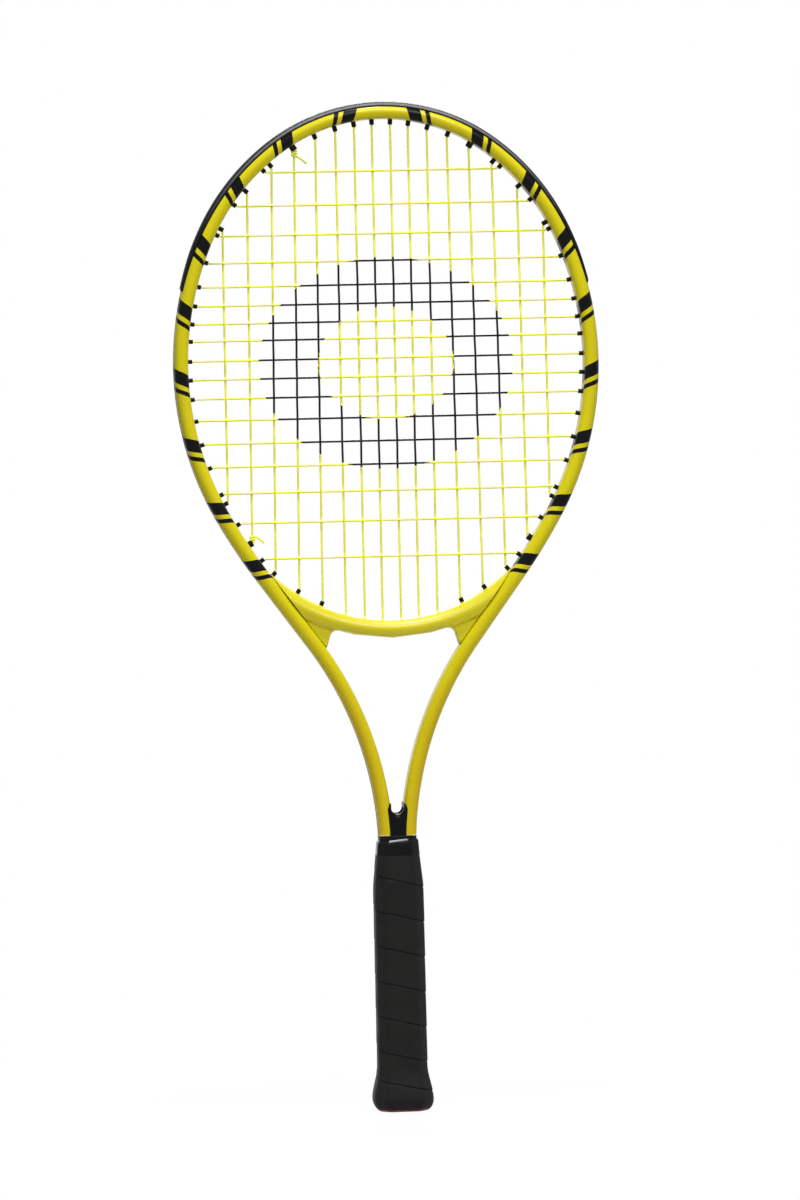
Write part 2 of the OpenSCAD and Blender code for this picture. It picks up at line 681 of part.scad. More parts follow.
// Handle: octagons with 45 degree bevels, given by their half width and half depth
function octagon(a, b, c, z) = [
    [a, c - b, z], [a, b - c, z], [a - c, b, z], [c - a, b, z],
    [-a, b - c, z], [-a, c - b, z], [c - a, -b, z], [a - c, -b, z]];
octagon_grow = 2 - sqrt(2);
function grown(a, b, z, o) = octagon(a + o, b + o, bevel + octagon_grow * o, z);
narrower = (handle_w - handle_d) / 2;
under_tape_w = butt_w / 2 - tape_t;
collar_narrower = (collar_w - collar_d) / 2;
function body_a(z) = lookup(z, [
    [butt_z, under_tape_w],
    [cap_top, handle_w / 2 + cap_wall + seat_gap],
    [cap_top + cap_run, handle_w / 2],
    [taper_z, handle_w / 2],
    [handle_top, collar_w / 2]]);
function body_b(z) = body_a(z) - lookup(z, [[taper_z, narrower], [handle_top, collar_narrower]]);
module loft(sections) {
    polyhedron([for (s = sections) each s], octagon_faces(len(sections)));
}
function octagon_faces(rings) = [for (f = ring_faces(rings, 8)) [f[0], f[2], f[1]]];
module handle_body(o) {
    bottom = plate_t + cap_floor;
    loft([for (z = [bottom, taper_z, handle_top])
        grown(z < taper_z ? handle_w / 2 : body_a(z), z < taper_z ? handle_d / 2 : body_b(z), z, o)]);
}
module handle_shell() {
    core = shell_wall;
    bottom = plate_t + cap_floor;
    color(black) difference() {
        handle_body(0);
        translate([-far, -seat_gap / 2, -far]) cube([2 * far, far, 4 * far]);
        shaft_seats();
        translate([0, 0, handle_top - tongue_len - seat_gap]) linear_extrude(far)
            square([tongue_w + 2 * seat_gap, tongue_d + 2 * seat_gap], center = true);
        loft([for (z = [bottom + 2 * core, shaft_end_z - seat_gap])
            grown(handle_w / 2, handle_d / 2, z, -core)]);
        both_sides() staple_shape(2 * fit_gap);
        mirror([0, 1, 0]) both_sides() staple_shape(2 * fit_gap);
    }
}
module handle_shell_front() { handle_shell(); }
module handle_shell_rear() { mirror([0, 1, 0]) handle_shell(); }

// Throat plug
module throat_plug() {
    top = handle_top + plug_h;
    notch_c = handle_top + notch_z + notch_r;
    color(black) difference() {
        union() {
            upright(plug_d) polygon([
                [plug_base_x, handle_top + seat_gap],
                [plug_top_x, top - prong_h],
                [plug_top_x - prong_inset, top],
                [prong_inset - plug_top_x, top],
                [-plug_top_x, top - prong_h],
                [-plug_base_x, handle_top + seat_gap]]);
            translate([0, 0, handle_top - tongue_len]) linear_extrude(tongue_len + 1)
                square([tongue_w, tongue_d], center = true);
        }
        shaft_seats();
        upright(far) {
            translate([0, notch_c]) circle(notch_r);
            translate([-notch_r, notch_c]) square([2 * notch_r, far]);
        }
    }
}

// Butt
module butt_cap() {
    a = butt_w / 2;
    b = a - narrower;
    color(black) difference() {
        loft([
            grown(a - butt_chamfer, b - butt_chamfer, plate_t + seat_gap, 0),
            grown(a - butt_swell, b - butt_swell, butt_z / 2, 0),
            grown(a, b, butt_z, 0),
            grown(under_tape_w, under_tape_w - narrower, butt_z + eps, 0),
            grown(body_a(cap_top), body_b(cap_top), cap_top, 0)]);
        handle_body(seat_gap);
        cylinder(d = spigot_d + 2 * fit_gap, h = far / 4);
        both_sides() staple_shape(fit_gap);
        mirror([0, 1, 0]) both_sides() staple_shape(fit_gap);
    }
}
module butt_plate() {
    a = butt_w / 2 - butt_chamfer;
    foot = foot_w / 2;
    color("#4a1014") {
        loft([grown(foot, foot - narrower, 0, -1), grown(a, a - narrower, plate_t, 0)]);
        translate([0, 0, plate_t / 2]) cylinder(d = spigot_d, h = plate_t / 2 + cap_floor);
    }
}
module staple_shape(gap) {
    r = staple_wire / 2 + gap;
    face = body_b(staple_z) - staple_wire / 2 - rest_gap;
    translate([0, -face, staple_z]) {
        rotate([0, 90, 0]) translate([0, 0, -eps]) cylinder(r = r, h = staple_w / 2 + r + eps);
        translate([staple_w / 2, 0, 0]) rotate([-90, 0, 0]) cylinder(r = r, h = staple_leg + gap);
    }
}
module butt_staples() {
    color("silver") for (side = [0, 1]) mirror([0, side, 0]) both_sides() staple_shape(0);
}

// Grip: a band that climbs the octagon, its ends cut level with the butt and the upper edge
tape_low = butt_z + seat_gap + eps;
tape_steps = 24;
function tape_upper(u) = min(tape_top, tape_low + tape_pitch * u);
function tape_lower(u) = max(tape_low, tape_low + tape_pitch * (u - 1) + tape_gap);
tape_cut = tape_cut_h / tape_pitch;
function tape_thick(z) = lookup(z, [[tape_top - tape_thin, tape_t], [tape_top, tape_end_t]]);
tape_rings = floor(((tape_top - tape_low) / tape_pitch + 1 - 2 * tape_cut) * tape_steps);
function tape_point(i, z, o) =
    let (
        corners = grown(body_a(z), body_b(z), z, o + seat_gap),
        spot = (tape_steps - i % tape_steps) % tape_steps * 8 / tape_steps,
        k = floor(spot))
    mix(corners[k], corners[(k + 1) % 8], spot - k);
function tape_ring(i) =
    let (
        u = tape_cut + i / tape_steps,
        lo = tape_lower(u),
        hi = tape_upper(u),
        soft = min(tape_soft, (hi - lo) / 3),
        low_t = tape_thick(lo),
        high_t = tape_thick(hi))
    [tape_point(i, lo, 0), tape_point(i, hi, 0),
        tape_point(i, hi, high_t * tape_edge), tape_point(i, hi - soft, high_t),
        tape_point(i, lo + soft, low_t), tape_point(i, lo, low_t * tape_edge)];
tape_points = [for (i = [0:tape_rings]) tape_ring(i)];
tape_least = min([for (i = [0:tape_rings - tape_steps])
    norm(tape_points[i + tape_steps][0] - tape_points[i][1])]);
string_least = 2 * layer_y - string_d;
echo(grip_tape_least_gap = tape_least, string_layers_least_gap = string_least);
module grip_tape() {
    color("#232324") polyhedron([for (ring = tape_points) each ring], ring_faces(tape_rings + 1, 6));
}
module finishing_tape() {
    low = tape_top + seat_gap;
    high = low + finish_h;
    function around(z, o) = grown(body_a(z), body_b(z), z, o);
    color("#18181a") difference() {
        loft([around(low, finish_low_t), around(high, finish_t)]);
        loft([around(low - 1, seat_gap), around(high + 1, seat_gap)]);
    }
}

frame_tube();
throat_bridge();
bridge_rivets();
bumper_guard();
left_grommet_strip();
right_grommet_strip();
left_throat_strip();
right_throat_strip();
string_bed();
throat_plug();
handle_shell_front();
handle_shell_rear();
butt_cap();
butt_plate();
butt_staples();
grip_tape();
finishing_tape();
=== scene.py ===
# %% [markdown]
# # A strung tennis racket
#
# The racket is one bent alloy tube with a moulded bridge, a string bed, black plastic trim and a taped
# handle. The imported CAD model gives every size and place. This lesson loads it as a fixed frame and builds
# finer skins over it: each skin is a profile carried along a path, worked out as one numpy array.

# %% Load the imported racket
import bpy
import numpy as np
from mathutils import Matrix


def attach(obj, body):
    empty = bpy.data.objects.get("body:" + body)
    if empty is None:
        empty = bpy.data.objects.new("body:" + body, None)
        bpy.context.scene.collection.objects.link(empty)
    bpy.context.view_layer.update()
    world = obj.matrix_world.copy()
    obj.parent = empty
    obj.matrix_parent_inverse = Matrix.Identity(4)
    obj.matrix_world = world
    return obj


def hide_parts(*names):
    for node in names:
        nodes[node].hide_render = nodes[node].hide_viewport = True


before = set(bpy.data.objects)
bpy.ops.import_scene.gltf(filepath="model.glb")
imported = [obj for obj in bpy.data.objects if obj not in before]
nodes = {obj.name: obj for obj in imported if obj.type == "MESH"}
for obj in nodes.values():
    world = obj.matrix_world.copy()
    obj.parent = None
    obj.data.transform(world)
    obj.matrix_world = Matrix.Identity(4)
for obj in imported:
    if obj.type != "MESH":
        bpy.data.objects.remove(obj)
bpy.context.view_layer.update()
print("CAD nodes:", ", ".join(sorted(nodes)))

# %% [markdown]
# ## From a grid of points to a mesh
#
# Nearly every piece here is a stack of rings: the same number of points in each ring, and each ring joined
# to the next by four-sided faces. A modelling operator could do that one piece at a time, but index
# arithmetic does it for a whole grid at once and gives the UV map for free. Sizes are in millimetres while
# a shape is worked out, and become metres as it goes into the mesh.

# %% Rings to faces
MM = 0.001


def ring_surface(points, along=None, around=None, caps=True):
    """Faces of a tube of rings: quad (i, k) joins points k and k+1 of ring i to the same two of ring i+1.

    along gives one u value per ring, around one v value per point plus one for the closing point."""
    rings, sides = points.shape[:2]
    along = np.arange(rings) if along is None else along
    around = np.linspace(0, 1, sides + 1) if around is None else around
    i, k = np.meshgrid(np.arange(rings - 1), np.arange(sides), indexing="ij")
    steps = [(0, 0), (1, 0), (1, 1), (0, 1)]
    quads = np.stack([(i + di) * sides + (k + dk) % sides for di, dk in steps], -1).reshape(-1, 4)
    uv = np.stack([np.stack([along[i + di], around[k + dk]], -1) for di, dk in steps], 2).reshape(-1, 4, 2)
    flat = points.reshape(-1, 3)
    across = np.cross(flat[quads[:, 2]] - flat[quads[:, 0]], flat[quads[:, 3]] - flat[quads[:, 1]])
    outwards = flat[quads].mean(1) - np.repeat(points[:-1].mean(1), sides, 0)
    inside_out = (across * outwards).sum() < 0
    if inside_out:
        quads, uv = quads[:, ::-1], uv[:, ::-1]
    ends = [np.arange(sides), (rings - 1) * sides + np.arange(sides)] if caps else []
    ends = [end[::-1] if inside_out == (n == 0) else end for n, end in enumerate(ends)]
    return flat, quads, uv, ends


def new_object(name, data):
    """An object at the origin, linked into the scene."""
    item = bpy.data.objects.new(name, data)
    bpy.context.scene.collection.objects.link(item)
    return item


def make_piece(name, parts, finish, stands_for, crease=40):
    """One mesh object from several ring surfaces, smooth but creased where faces turn by more than crease."""
    starts = np.cumsum([0] + [len(part[0]) for part in parts])
    faces = []
    loops_uv = []
    for start, (_, quads, uv, ends) in zip(starts, parts):
        faces += (quads + start).tolist() + [(end + start).tolist() for end in ends]
        loops_uv += [uv.reshape(-1, 2)] + [np.zeros((len(end), 2)) for end in ends]
    mesh = bpy.data.meshes.new(name)
    mesh.from_pydata(np.concatenate([part[0] for part in parts]) * MM, [], faces)
    mesh.uv_layers.new(name="along_around").data.foreach_set("uv", np.concatenate(loops_uv).ravel())
    mesh.polygons.foreach_set("use_smooth", np.ones(len(faces), bool))
    mesh.set_sharp_from_angle(angle=np.radians(crease))
    mesh.materials.append(finish)
    piece = new_object(name, mesh)
    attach(piece, "root")
    if stands_for:
        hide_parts(*stands_for)
    print(name, "has", len(mesh.vertices), "points and", len(faces), "faces")
    return piece


squares = np.array([[[0, 0, z], [1, 0, z], [1, 1, z], [0, 1, z]] for z in range(3)])
print("three squares in a stack make", len(ring_surface(squares)[1]), "faces and two ends")

# %% [markdown]
# ## Finishes
#
# A finish is one Principled shader. What is the same all over goes straight onto its sockets. What varies,
# such as grain, scuffs or painted bands, comes from noise on Object coordinates or from the UV map, which
# follows a piece along its length and around it. Painted pictures would do as well, but nodes stay sharp at
# any distance and need no file.

# %% A finish, its colours and its links
def new_finish(name, **sockets):
    """A Principled material whose constant values are set on the shader's own sockets."""
    material = bpy.data.materials.new(name)
    material.use_nodes = True
    shader = material.node_tree.nodes["Principled BSDF"]
    for socket, value in sockets.items():
        shader.inputs[socket.replace("_", " ")].default_value = value
    return material, material.node_tree, shader


def srgb(red, green, blue):
    """Linear colour of an 8-bit screen colour."""
    c = np.array([red, green, blue]) / 255
    linear = np.where(c <= 0.04045, c / 12.92, ((c + 0.055) / 1.055) ** 2.4)
    return (*linear, 1.0)


def connect(tree, source, target):
    """Link a node's socket, or set a plain number."""
    if isinstance(source, (int, float)):
        target.default_value = source
    else:
        tree.links.new(source, target)


print("screen grey 128 is", round(float(srgb(128, 128, 128)[0]), 3), "in linear light")


# %% Small shader nodes
def math(tree, operation, *values):
    """A Math node on two or three values."""
    node = tree.nodes.new("ShaderNodeMath")
    node.operation = operation
    for value, socket in zip(values, node.inputs):
        connect(tree, value, socket)
    return node.outputs[0]


def object_place(tree):
    """Object coordinates, in metres."""
    return tree.nodes.new("ShaderNodeTexCoord").outputs["Object"]


def noise(tree, size_mm, detail=2.0, squeeze=None):
    """Noise whose blobs are about size_mm across, on Object coordinates, squeezed along the axes if asked."""
    place = object_place(tree)
    if squeeze:
        mapping = tree.nodes.new("ShaderNodeMapping")
        mapping.inputs["Scale"].default_value = squeeze
        tree.links.new(place, mapping.inputs["Vector"])
        place = mapping.outputs[0]
    node = tree.nodes.new("ShaderNodeTexNoise")
    node.inputs["Scale"].default_value = 1 / (size_mm * MM)
    node.inputs["Detail"].default_value = detail
    tree.links.new(place, node.inputs["Vector"])
    return node.outputs["Fac"]


def spread(tree, value, low, high, start=0.3, end=0.7):
    """Stretch start..end of a value to low..high."""
    node = tree.nodes.new("ShaderNodeMapRange")
    node.inputs["From Min"].default_value = start
    node.inputs["From Max"].default_value = end
    node.inputs["To Min"].default_value = low
    node.inputs["To Max"].default_value = high
    tree.links.new(value, node.inputs["Value"])
    return node.outputs[0]


def blend(tree, amount, first, second):
    """Mix two colours by an amount that varies over the surface."""
    node = tree.nodes.new("ShaderNodeMix")
    node.data_type = "RGBA"
    tree.links.new(amount, node.inputs["Factor"])
    for colour, socket in ((first, node.inputs["A"]), (second, node.inputs["B"])):
        if isinstance(colour, tuple):
            socket.default_value = colour
        else:
            tree.links.new(colour, socket)
    return node.outputs["Result"]


def relief(tree, shader, height, depth_mm, strength=1.0):
    """Bump from a height of 0..1 that stands for depth_mm."""
    node = tree.nodes.new("ShaderNodeBump")
    node.inputs["Distance"].default_value = depth_mm * MM
    node.inputs["Strength"].default_value = strength
    tree.links.new(height, node.inputs["Height"])
    tree.links.new(node.outputs[0], shader.inputs["Normal"])


print("node helpers: math, noise, spread, blend and relief")


# %% Places on a piece, and what finishes share
def axes_of(tree, vector):
    """The x, y and z of a vector."""
    split = tree.nodes.new("ShaderNodeSeparateXYZ")
    tree.links.new(vector, split.inputs[0])
    return split.outputs


def uv_place(tree):
    """The piece's own UV map as two numbers: along and around."""
    axes = axes_of(tree, tree.nodes.new("ShaderNodeTexCoord").outputs["UV"])
    return axes[0], axes[1]


def clouded(tree, size_mm, first, second, most=1.0, detail=2.0):
    """Two colours in clouds about size_mm across, the share of the second from 0 to most."""
    return blend(tree, spread(tree, noise(tree, size_mm, detail), 0.0, most), first, second)


def dress(tree, shader, colour, polish, rough):
    """Base colour, and a roughness that wanders between two values as the noise called polish does."""
    connect(tree, colour, shader.inputs["Base Color"])
    connect(tree, spread(tree, polish, *rough), shader.inputs["Roughness"])


print("finish helpers: clouded colours, and roughness that wanders")

# %% [markdown]
# ## The path of the tube
#
# The maker bends one straight tube: four arcs a side make the head, a straight run leads down the throat,
# and a bend the other way turns both shafts parallel. Bending changes only the heading, so the heading is a
# broken line of the distance along the tube, and adding up its cosine and sine gives the path. That one
# path then carries the tube, the string loops and the trim.

# %% Heading, path and offsets
total_length = 686.0
bumper_t = 2.0
tube_w = 9.8
tube_d = 20.0
arc_r = np.array([122.0, 152.0, 210.0, 400.0])
arc_turn = np.array([36.0, 29.0, 54.0, 7.0])
bend_r = 241.0
shaft_x = 7.6
shaft_end_z = 85.0
tip_z = total_length - bumper_t - tube_w / 2
hoop_samples = 4001
path_samples = 14001

arc_end_h = np.concatenate([[0], np.cumsum(arc_turn)])
arc_end_s = np.concatenate([[0], np.cumsum(arc_r * np.radians(arc_turn))])
hoop_end_s = arc_end_s[-1]
splay = np.radians(arc_end_h[-1] - 90)
splay_dir = np.array([-np.sin(splay), -np.cos(splay)])
splay_out = np.array([np.cos(splay), -np.sin(splay)])


def add_up(s, heading):
    """Path in x and z: the running sum of the heading's cosine and of minus its sine, taken at mid steps."""
    middle = np.radians((heading[1:] + heading[:-1]) / 2)
    steps = np.diff(s)
    x = np.concatenate([[0], np.cumsum(np.cos(middle) * steps)])
    z = tip_z - np.concatenate([[0], np.cumsum(np.sin(middle) * steps)])
    return x, z


hoop_s = np.linspace(0, hoop_end_s, hoop_samples)
hoop_x, hoop_z = add_up(hoop_s, np.interp(hoop_s, arc_end_s, arc_end_h))
splay_top = np.array([hoop_x[-1], hoop_z[-1]])
splay_len = (splay_top[0] - bend_r * (1 - np.cos(splay)) - shaft_x) / np.sin(splay)
bend_end_z = splay_top[1] - splay_len * np.cos(splay) - bend_r * np.sin(splay)
lengths = [splay_len, bend_r * splay, bend_end_z - shaft_end_z]
turn_s = np.concatenate([arc_end_s, hoop_end_s + np.cumsum(lengths)])
turn_h = np.concatenate([arc_end_h, [arc_end_h[-1], 90, 90]])
tube_end_s = turn_s[-1]
fine_s = np.linspace(0, tube_end_s, path_samples)
fine_h = np.interp(fine_s, turn_s, turn_h)
fine_x, fine_z = add_up(fine_s, fine_h)


def tube_point(s, d=0.0):
    """Point beside the tube's centreline: at distance s from the tip, d millimetres outwards of it.

    Outwards is (sin h, cos h) for heading h. A negative s is the left half, the mirror image of the right."""
    reach = np.abs(s)
    h = np.radians(np.interp(reach, turn_s, turn_h))
    x = np.interp(reach, fine_s, fine_x) + d * np.sin(h)
    z = np.interp(reach, fine_s, fine_z) + d * np.cos(h)
    return np.stack([np.where(np.asarray(s) < 0, -x, x), z], -1)


print("head", round(2 * float(hoop_end_s)), "mm along the tube; straight below z", round(bend_end_z, 1))

# %% [markdown]
# ## Section of the tube
#
# Across, the tube is a flat oval with a groove pressed into its outer face, where the string loops lie out
# of harm's way. Pressed metal has no sharp edge, so the groove's lips and inner corners are small arcs.
# A bevel modifier could round them, but here they are simply part of the outline.

# %% Outline with rounded corners
channel_w = 6.6
channel_depth = 3.4
lip_r = 0.7
floor_r = 0.5
floor_d = tube_w / 2 - channel_depth


def arc(centre, radius, start, end, count):
    """Points on a circle's arc between two angles in degrees."""
    angle = np.radians(np.linspace(start, end, count))
    return np.asarray(centre) + radius * np.stack([np.cos(angle), np.sin(angle)], -1)


def tube_outline():
    """Closed outline in (outwards, across): half of it as arcs, the other half its mirror image."""
    edge = tube_w / 2
    flat = (tube_d - tube_w) / 2
    groove = channel_w / 2
    half = np.concatenate([
        [[-edge, 0], [-edge, flat / 2]],
        arc((0, flat), edge, 180, 0, 19),
        arc((edge - lip_r, groove + lip_r), lip_r, 0, -90, 6),
        arc((floor_d + floor_r, groove - floor_r), floor_r, 90, 180, 4),
        [[floor_d, groove / 2], [floor_d, 0]]])
    other = half[-2:0:-1] * [1, -1]
    return np.concatenate([half, other])


def sweep(s, outline):
    """Rings of an outline, or of one outline per ring, carried along the tube's path: out along the normal,
    across along Y."""
    outline = np.broadcast_to(outline, (len(s), *outline.shape[-2:]))
    x_z = tube_point(s[:, None], outline[..., 0])
    return np.stack([x_z[..., 0], outline[..., 1], x_z[..., 1]], -1)


def girth(outline):
    """Distance round an outline from its first point, the same on both halves, with the closing point."""
    run = np.linalg.norm(np.diff(np.vstack([outline, outline[:1]]), axis=0), axis=1)
    total = np.concatenate([[0], np.cumsum(run)])
    return np.minimum(total, total[-1] - total)


section = tube_outline()
print("tube section:", len(section), "points")

# %% [markdown]
# ## Yellow paint with black bars
#
# The tube is sprayed yellow under clear lacquer. The lacquer is the shader's coat, a fine noise bump gives
# its orange peel, and a slow noise shifts the yellow a little as hand spraying does. The outer sides of the
# shafts are painted a deeper yellow towards the handle, as painted shade, and a thin pale band runs round the
# tubes just above the handle. The decoration is plain pairs of slanted black bars, spaced evenly round the
# head. Strips of mesh could carry them, but paint has no thickness, so they are painted through the UV map.
# It holds millimetres along the tube, and the bars bend with it.

# %% Bars and heights on the tube
bar_pitch = 46.0
bar_first = 23.5
bar_count = 9
bar_slant = 0.45
wide_bar = 0.20
narrow_bar = (0.27, 0.34)


def bars(tree):
    """1 inside a bar: in each pitch a wide one from its start, and a narrow one between two shares of it.

    Pitches = (distance along + slant * distance around - first) / pitch."""
    along, around = uv_place(tree)
    slanted = math(tree, "MULTIPLY_ADD", around, bar_slant, math(tree, "ABSOLUTE", along))
    pitches = math(tree, "DIVIDE", math(tree, "SUBTRACT", slanted, bar_first), bar_pitch)
    share = math(tree, "FRACT", pitches)
    wide = math(tree, "LESS_THAN", share, wide_bar)
    narrow = math(tree, "COMPARE", share, sum(narrow_bar) / 2, (narrow_bar[1] - narrow_bar[0]) / 2)
    half_run = (bar_count - 0.5) / 2
    within = math(tree, "COMPARE", pitches, half_run, half_run)
    return math(tree, "MULTIPLY", math(tree, "ADD", wide, narrow), within)


def under(tree, start_z, end_z):
    """1 under start_z, falling evenly to 0 at end_z, both in millimetres above the floor."""
    height = axes_of(tree, object_place(tree))[2]
    return spread(tree, height, 1.0, 0.0, start_z * MM, end_z * MM)


print(bar_count, "pairs of bars a side,", bar_pitch, "mm apart")

# %% Painted tube
yellow = srgb(219, 209, 11)
deep_yellow = srgb(205, 190, 6)
shaft_shade_yellow = srgb(205, 180, 2)
pale_edge = srgb(244, 236, 150)
ink = srgb(8, 8, 9)
handle_top = 187.9
rim_h = 1.1
clear_coat = 0.24
ink_coat = 0.03
shaft_shade_fade = (265.0, 350.0)
outer_shade_span = (7.0, 16.0)


def tube_paint():
    """Yellow lacquer, clouded a little, with painted shade as a deeper yellow on the outer side of the shafts
    towards the handle, a thin pale band just above the handle, and the bars over it in an ink of less gloss."""
    material, tree, shader = new_finish(
        "tube_paint", Coat_Roughness=0.1, IOR=1.45, Specular_IOR_Level=0.1)
    cloudy = clouded(tree, 60, yellow, deep_yellow, 0.35)
    # Painted shade: the outer side of the shafts turns a deeper yellow, fully below 265 mm and fading out by
    # 350 mm.
    outer = spread(tree, uv_place(tree)[1], 0.1, 1.0, *outer_shade_span)
    shaded_shafts = blend(tree, math(tree, "MULTIPLY", outer, under(tree, *shaft_shade_fade)), cloudy, shaft_shade_yellow)
    # A thin pale band round the tubes, rim_h tall, just above the handle.
    rimmed = blend(tree, under(tree, handle_top, handle_top + rim_h), shaded_shafts, pale_edge)
    inked = bars(tree)
    dress(tree, shader, blend(tree, inked, rimmed, ink), noise(tree, 9, 4), (0.22, 0.34))
    coat = math(tree, "MULTIPLY_ADD", inked, ink_coat - clear_coat, clear_coat)
    connect(tree, coat, shader.inputs["Coat Weight"])
    relief(tree, shader, noise(tree, 1.1, 1), 0.012)
    return material


ring_step = 1.6
tube_s = np.linspace(-tube_end_s, tube_end_s, int(2 * tube_end_s / ring_step))
make_piece(
    "hoop_tube", [ring_surface(sweep(tube_s, section), tube_s, girth(section))],
    tube_paint(), ["frame_tube"])

# %% [markdown]
# ## Where the strings go through the tube
#
# Every string hole is set by where its string runs: mains by their x, crosses by their z. Places along the
# tube could be typed in one by one, but they would no longer fit if the path changed. So each hole is found
# by reading the path's table backwards, at the inner end of the grommet, which stands a little inside the
# head.

# %% Holes
string_d = 1.3
barrel_out = 3.0
liner_t = 0.8
rest_gap = 0.12
inset = tube_w / 2 + barrel_out
main_gap_tip = np.array([12.4, 12.1, 12.8, 13.7, 14.6, 15.6, 17.0, 17.2])
main_gap_throat = np.array([12.4, 12.3, 12.7, 15.8, 15.6, 15.9, 15.4, 16.0])
straight_mains = 3
bridge_mains = 6
cross_gap = np.array([34.8, 22.5, 20.0, 18.3, 16.1, 12.8, 12.1, 11.6, 13.4,
                      12.6, 13.0, 14.7, 15.9, 15.8, 18.0, 20.3, 24.5])
main_x_tip = np.cumsum(main_gap_tip) - main_gap_tip[0] / 2
main_x_throat = np.cumsum(main_gap_throat) - main_gap_throat[0] / 2
cross_z = tip_z - tube_w / 2 - np.cumsum(cross_gap)

on_hoop = fine_s <= hoop_end_s
inner = tube_point(fine_s, -inset)
rising = on_hoop & (fine_h < 90)
falling = on_hoop & (fine_h >= 90)
tip_s = np.interp(main_x_tip, inner[rising, 0], fine_s[rising])
cross_s = np.interp(-cross_z, -inner[on_hoop, 1], fine_s[on_hoop])
side_s = np.interp(-main_x_throat[bridge_mains:], -inner[falling, 0], fine_s[falling])


def lane_d(level):
    """Distance of a string's middle from the centreline, lying on the liner or on another string."""
    return floor_d + liner_t + rest_gap + string_d / 2 + level * (string_d + rest_gap)


print("mains", 2 * len(tip_s), "crosses", len(cross_s))

# %% [markdown]
# ## Throat bridge
#
# The bridge is a moulded yoke. Seen from the front it is a rounded bar that closes the head, with thin
# webs below its ends that run down the tubes as legs. It could be cut from blocks and bevelled, but the
# soft valley between bar and web is easier as a surface: a grid runs from the upper arc to the lower edge,
# and a formula gives the half depth at each point.

# %% Upper arc and lower edge
seat_gap = 0.12
head_length = 339.0
bridge_h = 13.1
wing_start = 2.0
wing_tip = 1.0
lower_mid = (26.0, 2.8)
lower_end = (41.2, 6.9)
crotch_r = 5.0
leg_drop = 12.5
leg_tip = 0.7
bridge_z = tip_z - tube_w / 2 - head_length
face_d = -tube_w / 2 - seat_gap


def splay_at(s, d):
    """Point on the straight throat run, s below the head's end and d outwards of the centreline."""
    return splay_top + np.multiply.outer(s, splay_dir) + np.multiply.outer(d, splay_out)


wing_point = splay_at(wing_start, face_d - wing_tip)
wing_rise = wing_point[1] - bridge_z
bridge_r = (wing_point[0] ** 2 + wing_rise ** 2) / (2 * wing_rise)
bridge_c = np.array([0.0, bridge_z + bridge_r])
wing_angle = np.arcsin(wing_point[0] / bridge_r)
print("bridge arc", round(bridge_r, 1), "mm in radius,", round(2 * np.degrees(wing_angle)), "degrees")


# %% Edges of the bridge
def round_corner(before, corner, after, radius, count):
    """Arc of a given radius that touches both legs of a corner."""
    u = (before - corner) / np.linalg.norm(before - corner)
    v = (after - corner) / np.linalg.norm(after - corner)
    half = np.arccos(u @ v) / 2
    centre = corner + (u + v) / np.linalg.norm(u + v) * radius / np.sin(half)
    start = corner + u * radius / np.tan(half) - centre
    end = corner + v * radius / np.tan(half) - centre
    f = np.linspace(0, 1, count)[:, None]
    spoke = start * (1 - f) + end * f
    return centre + radius * spoke / np.linalg.norm(spoke, axis=1, keepdims=True)


def along_line(points, share):
    """Points at given shares of a broken line's length."""
    run = np.concatenate([[0], np.cumsum(np.linalg.norm(np.diff(points, axis=0), axis=1))])
    return np.stack([np.interp(share * run[-1], run, points[:, n]) for n in (0, 1)], -1)


low = bridge_z - bridge_h
mid_point = np.array([lower_mid[0], low + lower_mid[1]])
corner = np.array([lower_end[0], low + lower_end[1]])
leg_s = (splay_at(0.0, face_d)[1] - corner[1] + leg_drop) / np.cos(splay)
leg_out = splay_at(leg_s, face_d)
leg_in = leg_out - np.array([leg_tip, 0])
crotch = round_corner(mid_point, corner, leg_in, crotch_r, 12)
under_edge = np.concatenate([[[0, low]], [mid_point], crotch[:1]])
leg_edge = np.concatenate([crotch, [leg_in], [leg_out]])
seam_edge = np.stack([leg_out, splay_at(wing_start, face_d)])
print("bridge legs reach down to z", round(float(leg_out[1]), 1))

# %% Bridge surface
bar_half_depth = 9.0
bar_w = bridge_h + 0.6
web_half_depth = 5.4
web_fade = (0.34, 0.47)
leg_share = (0.44, 0.70)
edge_at = [0, 0.40, 0.5, 0.68, 0.74, 1]
edge_round = [0.6, 1.5, 2.6, 2.2, 1.0, 0.6]
points_down = 34


def smooth_step(value, start, end):
    """0 before start, 1 after end, an S-shaped curve between."""
    f = np.clip((value - start) / (end - start), 0, 1)
    return f * f * (3 - 2 * f)


